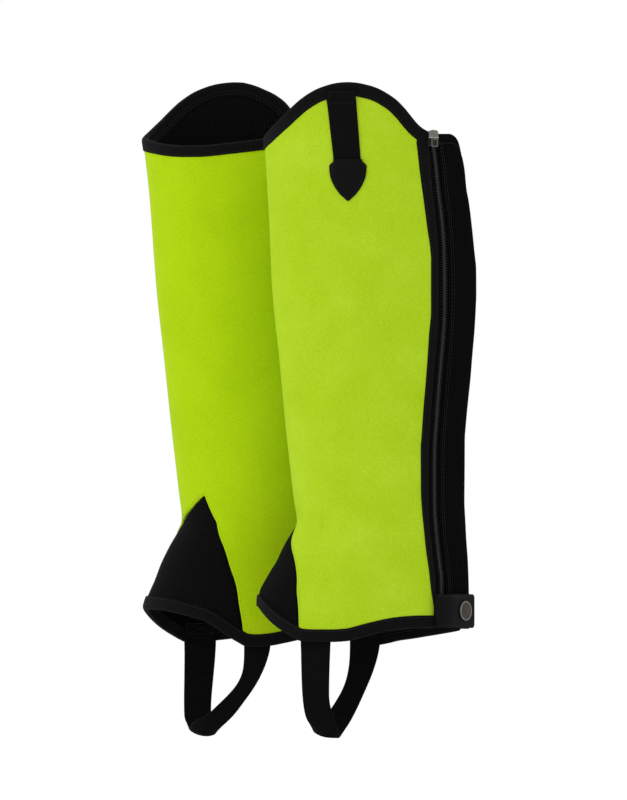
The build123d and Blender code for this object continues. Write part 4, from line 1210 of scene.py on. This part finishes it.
    # stirrup elastic: one band, its ends sewn inside the foot opening
    y, zc_, xl, xr = strap(side)
    zc_ = zc_.copy()
    ext = np.linspace(14.0, 4.6, 14)
    yy = np.concatenate([np.full(14, y[0]), y, np.full(14, y[-1])])
    zz = np.concatenate([ext, zc_, ext[::-1]])
    xll = np.concatenate([np.full(14, xl[0]), xl, np.full(14, xl[-1])])
    xrr = np.concatenate([np.full(14, xr[0]), xr, np.full(14, xr[-1])])
    n_s = len(zz)
    ty = np.gradient(yy)
    tz = np.gradient(zz)
    q_ = np.hypot(ty, tz)
    ny, nz = -tz / q_, ty / q_
    vv = np.linspace(0, 1, 27)
    X = xll[:, None] + (xrr - xll)[:, None] * vv
    half_t = 0.8 - 0.3 * (1 - np.clip(np.minimum(vv, 1 - vv) * 22 / 1.0, 0, 1)) ** 2
    idx = np.arange(n_s)
    outer_side = idx < n_s / 2
    sdn = np.where(outer_side, -1, 1)
    hold = np.where(outer_side, 0.0, -4.5)
    kk = np.clip((hold - zz) / 11.0, 0, 1)
    kk = (kk * kk * (3 - 2 * kk))[:, None, None]
    cup = 0.5 * np.sin(np.clip(s_ := np.linspace(0, 1, n_s), 0, 1) * math.pi) * 0
    res = []
    for sg_ in (1, -1):
        low_ = np.clip((-zz - 52.0) / 20.0, 0, 1)
        low_ = (low_ * low_ * (3 - 2 * low_))[:, None]
        if side == "left":
            tilt = low_ * 4.6 * (1 - vv[None, :]) ** 3.4
        else:
            tilt = low_ * (1.4 + 5.2 * (1 - vv[None, :]) ** 3.0 + 1.8 * vv[None, :] ** 5)
        pl_ = np.stack([X, yy[:, None] + ny[:, None] * half_t * -sg_ + 0 * X, zz[:, None] + nz[:, None] * half_t * -sg_ + tilt + 0 * X], -1)
        cu = np.zeros_like(pl_)
        for k_ in (-1, 1):
            rows_ = sdn == k_
            zq_ = np.broadcast_to(zz[rows_][:, None], X[rows_].shape)
            want = X[rows_]
            ask = want.copy()
            for _ in range(8):
                ask = ask + want - surf(phi_of(ask, zq_, k_), zq_, -5.65)[..., 0]
            cu[rows_] = surf(phi_of(ask, zq_, k_), zq_, -5.65 + (half_t * sg_)[None, :])
        res.append(cu + (pl_ - cu) * kk)
    # the outward face of the planar part is the one away from the leg
    mid = (res[0] + res[1]) / 2
    va = np.concatenate([res[0].reshape(-1, 3), res[1].reshape(-1, 3)])
    m_, n_ = X.shape
    fb = grid_faces(m_, n_) + [tuple(reversed(q)) for q in grid_faces(m_, n_, m_ * n_)]
    ring = [j for j in range(n_)] + [i * n_ + n_ - 1 for i in range(1, m_)] + [(m_ - 1) * n_ + j for j in range(n_ - 2, -1, -1)] \
        + [i * n_ for i in range(m_ - 2, 0, -1)]
    for k_, i in enumerate(ring):
        j = ring[(k_ + 1) % len(ring)]
        fb.append((i, j, j + m_ * n_, i + m_ * n_))
    ls = np.concatenate([[0], np.cumsum(np.linalg.norm(np.diff(mid[:, 13], axis=0), axis=1))])
    uvb = np.stack(np.broadcast_arrays(vv[None, :] * 22.6, ls[:, None]), -1)
    uvb = np.concatenate([uvb.reshape(-1, 2), uvb.reshape(-1, 2)])
    band = make(B("stirrup_band"), va, fb, side, M_WEB, uvb, sharp=60)
    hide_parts(B("stirrup"), B("stirrup_ends"))
    sew = []
    for rows_i, k_ in (((1, 12), -1), ((n_s - 2, n_s - 13), 1)):
        cor = [(rows_i[0], 2), (rows_i[0], 24), (rows_i[1], 24), (rows_i[1], 2), (rows_i[0], 2)]
        for run in (cor, [cor[0], cor[2]], [cor[1], cor[3]]):
            q = np.concatenate([np.linspace(run[m], run[m + 1], 12)[:-1] for m in range(len(run) - 1)] + [np.array([run[-1]], float)])
            pt = res[1][np.round(q[:, 0]).astype(int), np.round(q[:, 1]).astype(int)]
            zq = pt[:, 2]
            nr_ = -normal(phi_of(pt[:, 0], zq, k_), zq)
            sew.append(stitches(B("s"), pt, nr_, side, M_THREAD, pitch=2.3, length=1.8, r=0.25, lift=0.12))
    sewn = join(B("stirrup_stitching"), sew)
    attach(sewn, G)
    bend(band)

    # what each cloth was cut to
    print("cut", side, [round(float(q), 4) for q in (lw, lh, la, lnw, lnh, lna, gw, gh, ga, ew, eh, ea, ls[-1] * MM)])


def seam_thread():
    m, nt, b = nodes_of("lime_thread")
    co = objco(nt)
    n = noise(nt, co, 1800, 3, 0.6)
    rgb = ramp(nt, n, [(0.3, (0.26, 0.42, 0.006)), (0.7, (0.37, 0.56, 0.012))])
    nt.links.new(rgb, b.inputs["Base Color"])
    b.inputs["Roughness"].default_value = 0.7
    b.inputs["Specular IOR Level"].default_value = 0.25
    bumpn(nt, n, 0.3, 0.0001, b)
    return m


M_SEAM = seam_thread()
for which in ("left", "right"):
    build(which)

# carried-over CAD nodes get finished materials
FINISH = {"zip_stop_rear": M_NICKEL, "zip_stop_front": M_NICKEL, "zip_box": M_COIL, "zip_pin": M_COIL,
          "snap_stud": M_RIM, "snap_socket": M_RIM}
for which in ("left", "right"):
    for n, mt in FINISH.items():
        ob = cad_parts[f"{which}_{n}"]
        ob.data.materials.clear()
        ob.data.materials.append(mt)
        for p in ob.data.polygons:
            p.material_index = 0
        if n in ("zip_box", "zip_stop_rear", "zip_stop_front"):
            bv = ob.modifiers.new("soft_edges", "BEVEL")
            bv.width = 0.0004
            bv.segments = 3
            bv.limit_method = "ANGLE"
            bv.angle_limit = math.radians(40)
            bv.harden_normals = True

# --------------------------------------------------------------------------
# floor, light, camera
# --------------------------------------------------------------------------
fm, nt, b = nodes_of("studio_floor")
n = noise(nt, objco(nt), 260, 2, 0.5)
nt.links.new(ramp(nt, n, [(0.3, (0.912, 0.912, 0.912)), (0.7, (0.918, 0.918, 0.918))]), b.inputs["Base Color"])
b.inputs["Roughness"].default_value = 0.9
me = bpy.data.meshes.new("floor")
me.from_pydata([(-3, -3, -0.0765), (3, -3, -0.0765), (3, 3, -0.0765), (-3, 3, -0.0765)], [], [(0, 1, 2, 3)])
me.materials.append(fm)
floor = bpy.data.objects.new("floor", me)
bpy.context.scene.collection.objects.link(floor)

w = bpy.data.worlds.new("studio")
w.use_nodes = True
w.node_tree.nodes["Background"].inputs[0].default_value = (1, 1, 1, 1)
w.node_tree.nodes["Background"].inputs[1].default_value = 1.0
bpy.context.scene.world = w


def area(name, loc, target, size, power):
    d = bpy.data.lights.new(name, "AREA")
    d.shape = "RECTANGLE"
    d.size, d.size_y = size
    d.energy = power
    o = bpy.data.objects.new(name, d)
    o.location = loc
    o.rotation_euler = (Vector(target) - Vector(loc)).to_track_quat("-Z", "Y").to_euler()
    bpy.context.scene.collection.objects.link(o)
    return o


area("key", (-1.25, -0.42, 0.04), (-0.10, 0.03, 0.12), (0.7, 0.7), 3.8)
area("fill", (0.9, -1.6, 0.9), (-0.03, 0, 0.2), (1.2, 1.2), 0.8)

cam = bpy.data.cameras.new("camera")
cam.type = "ORTHO"
cam.ortho_scale = 0.604
co = bpy.data.objects.new("camera", cam)
co.location = (-0.0427, -2.5, 0.1812)
co.rotation_euler = (math.pi / 2, 0, 0)
cam.clip_start, cam.clip_end = 0.05, 20
bpy.context.scene.collection.objects.link(co)
bpy.context.scene.camera = co
bpy.context.scene.view_settings.view_transform = "Standard"
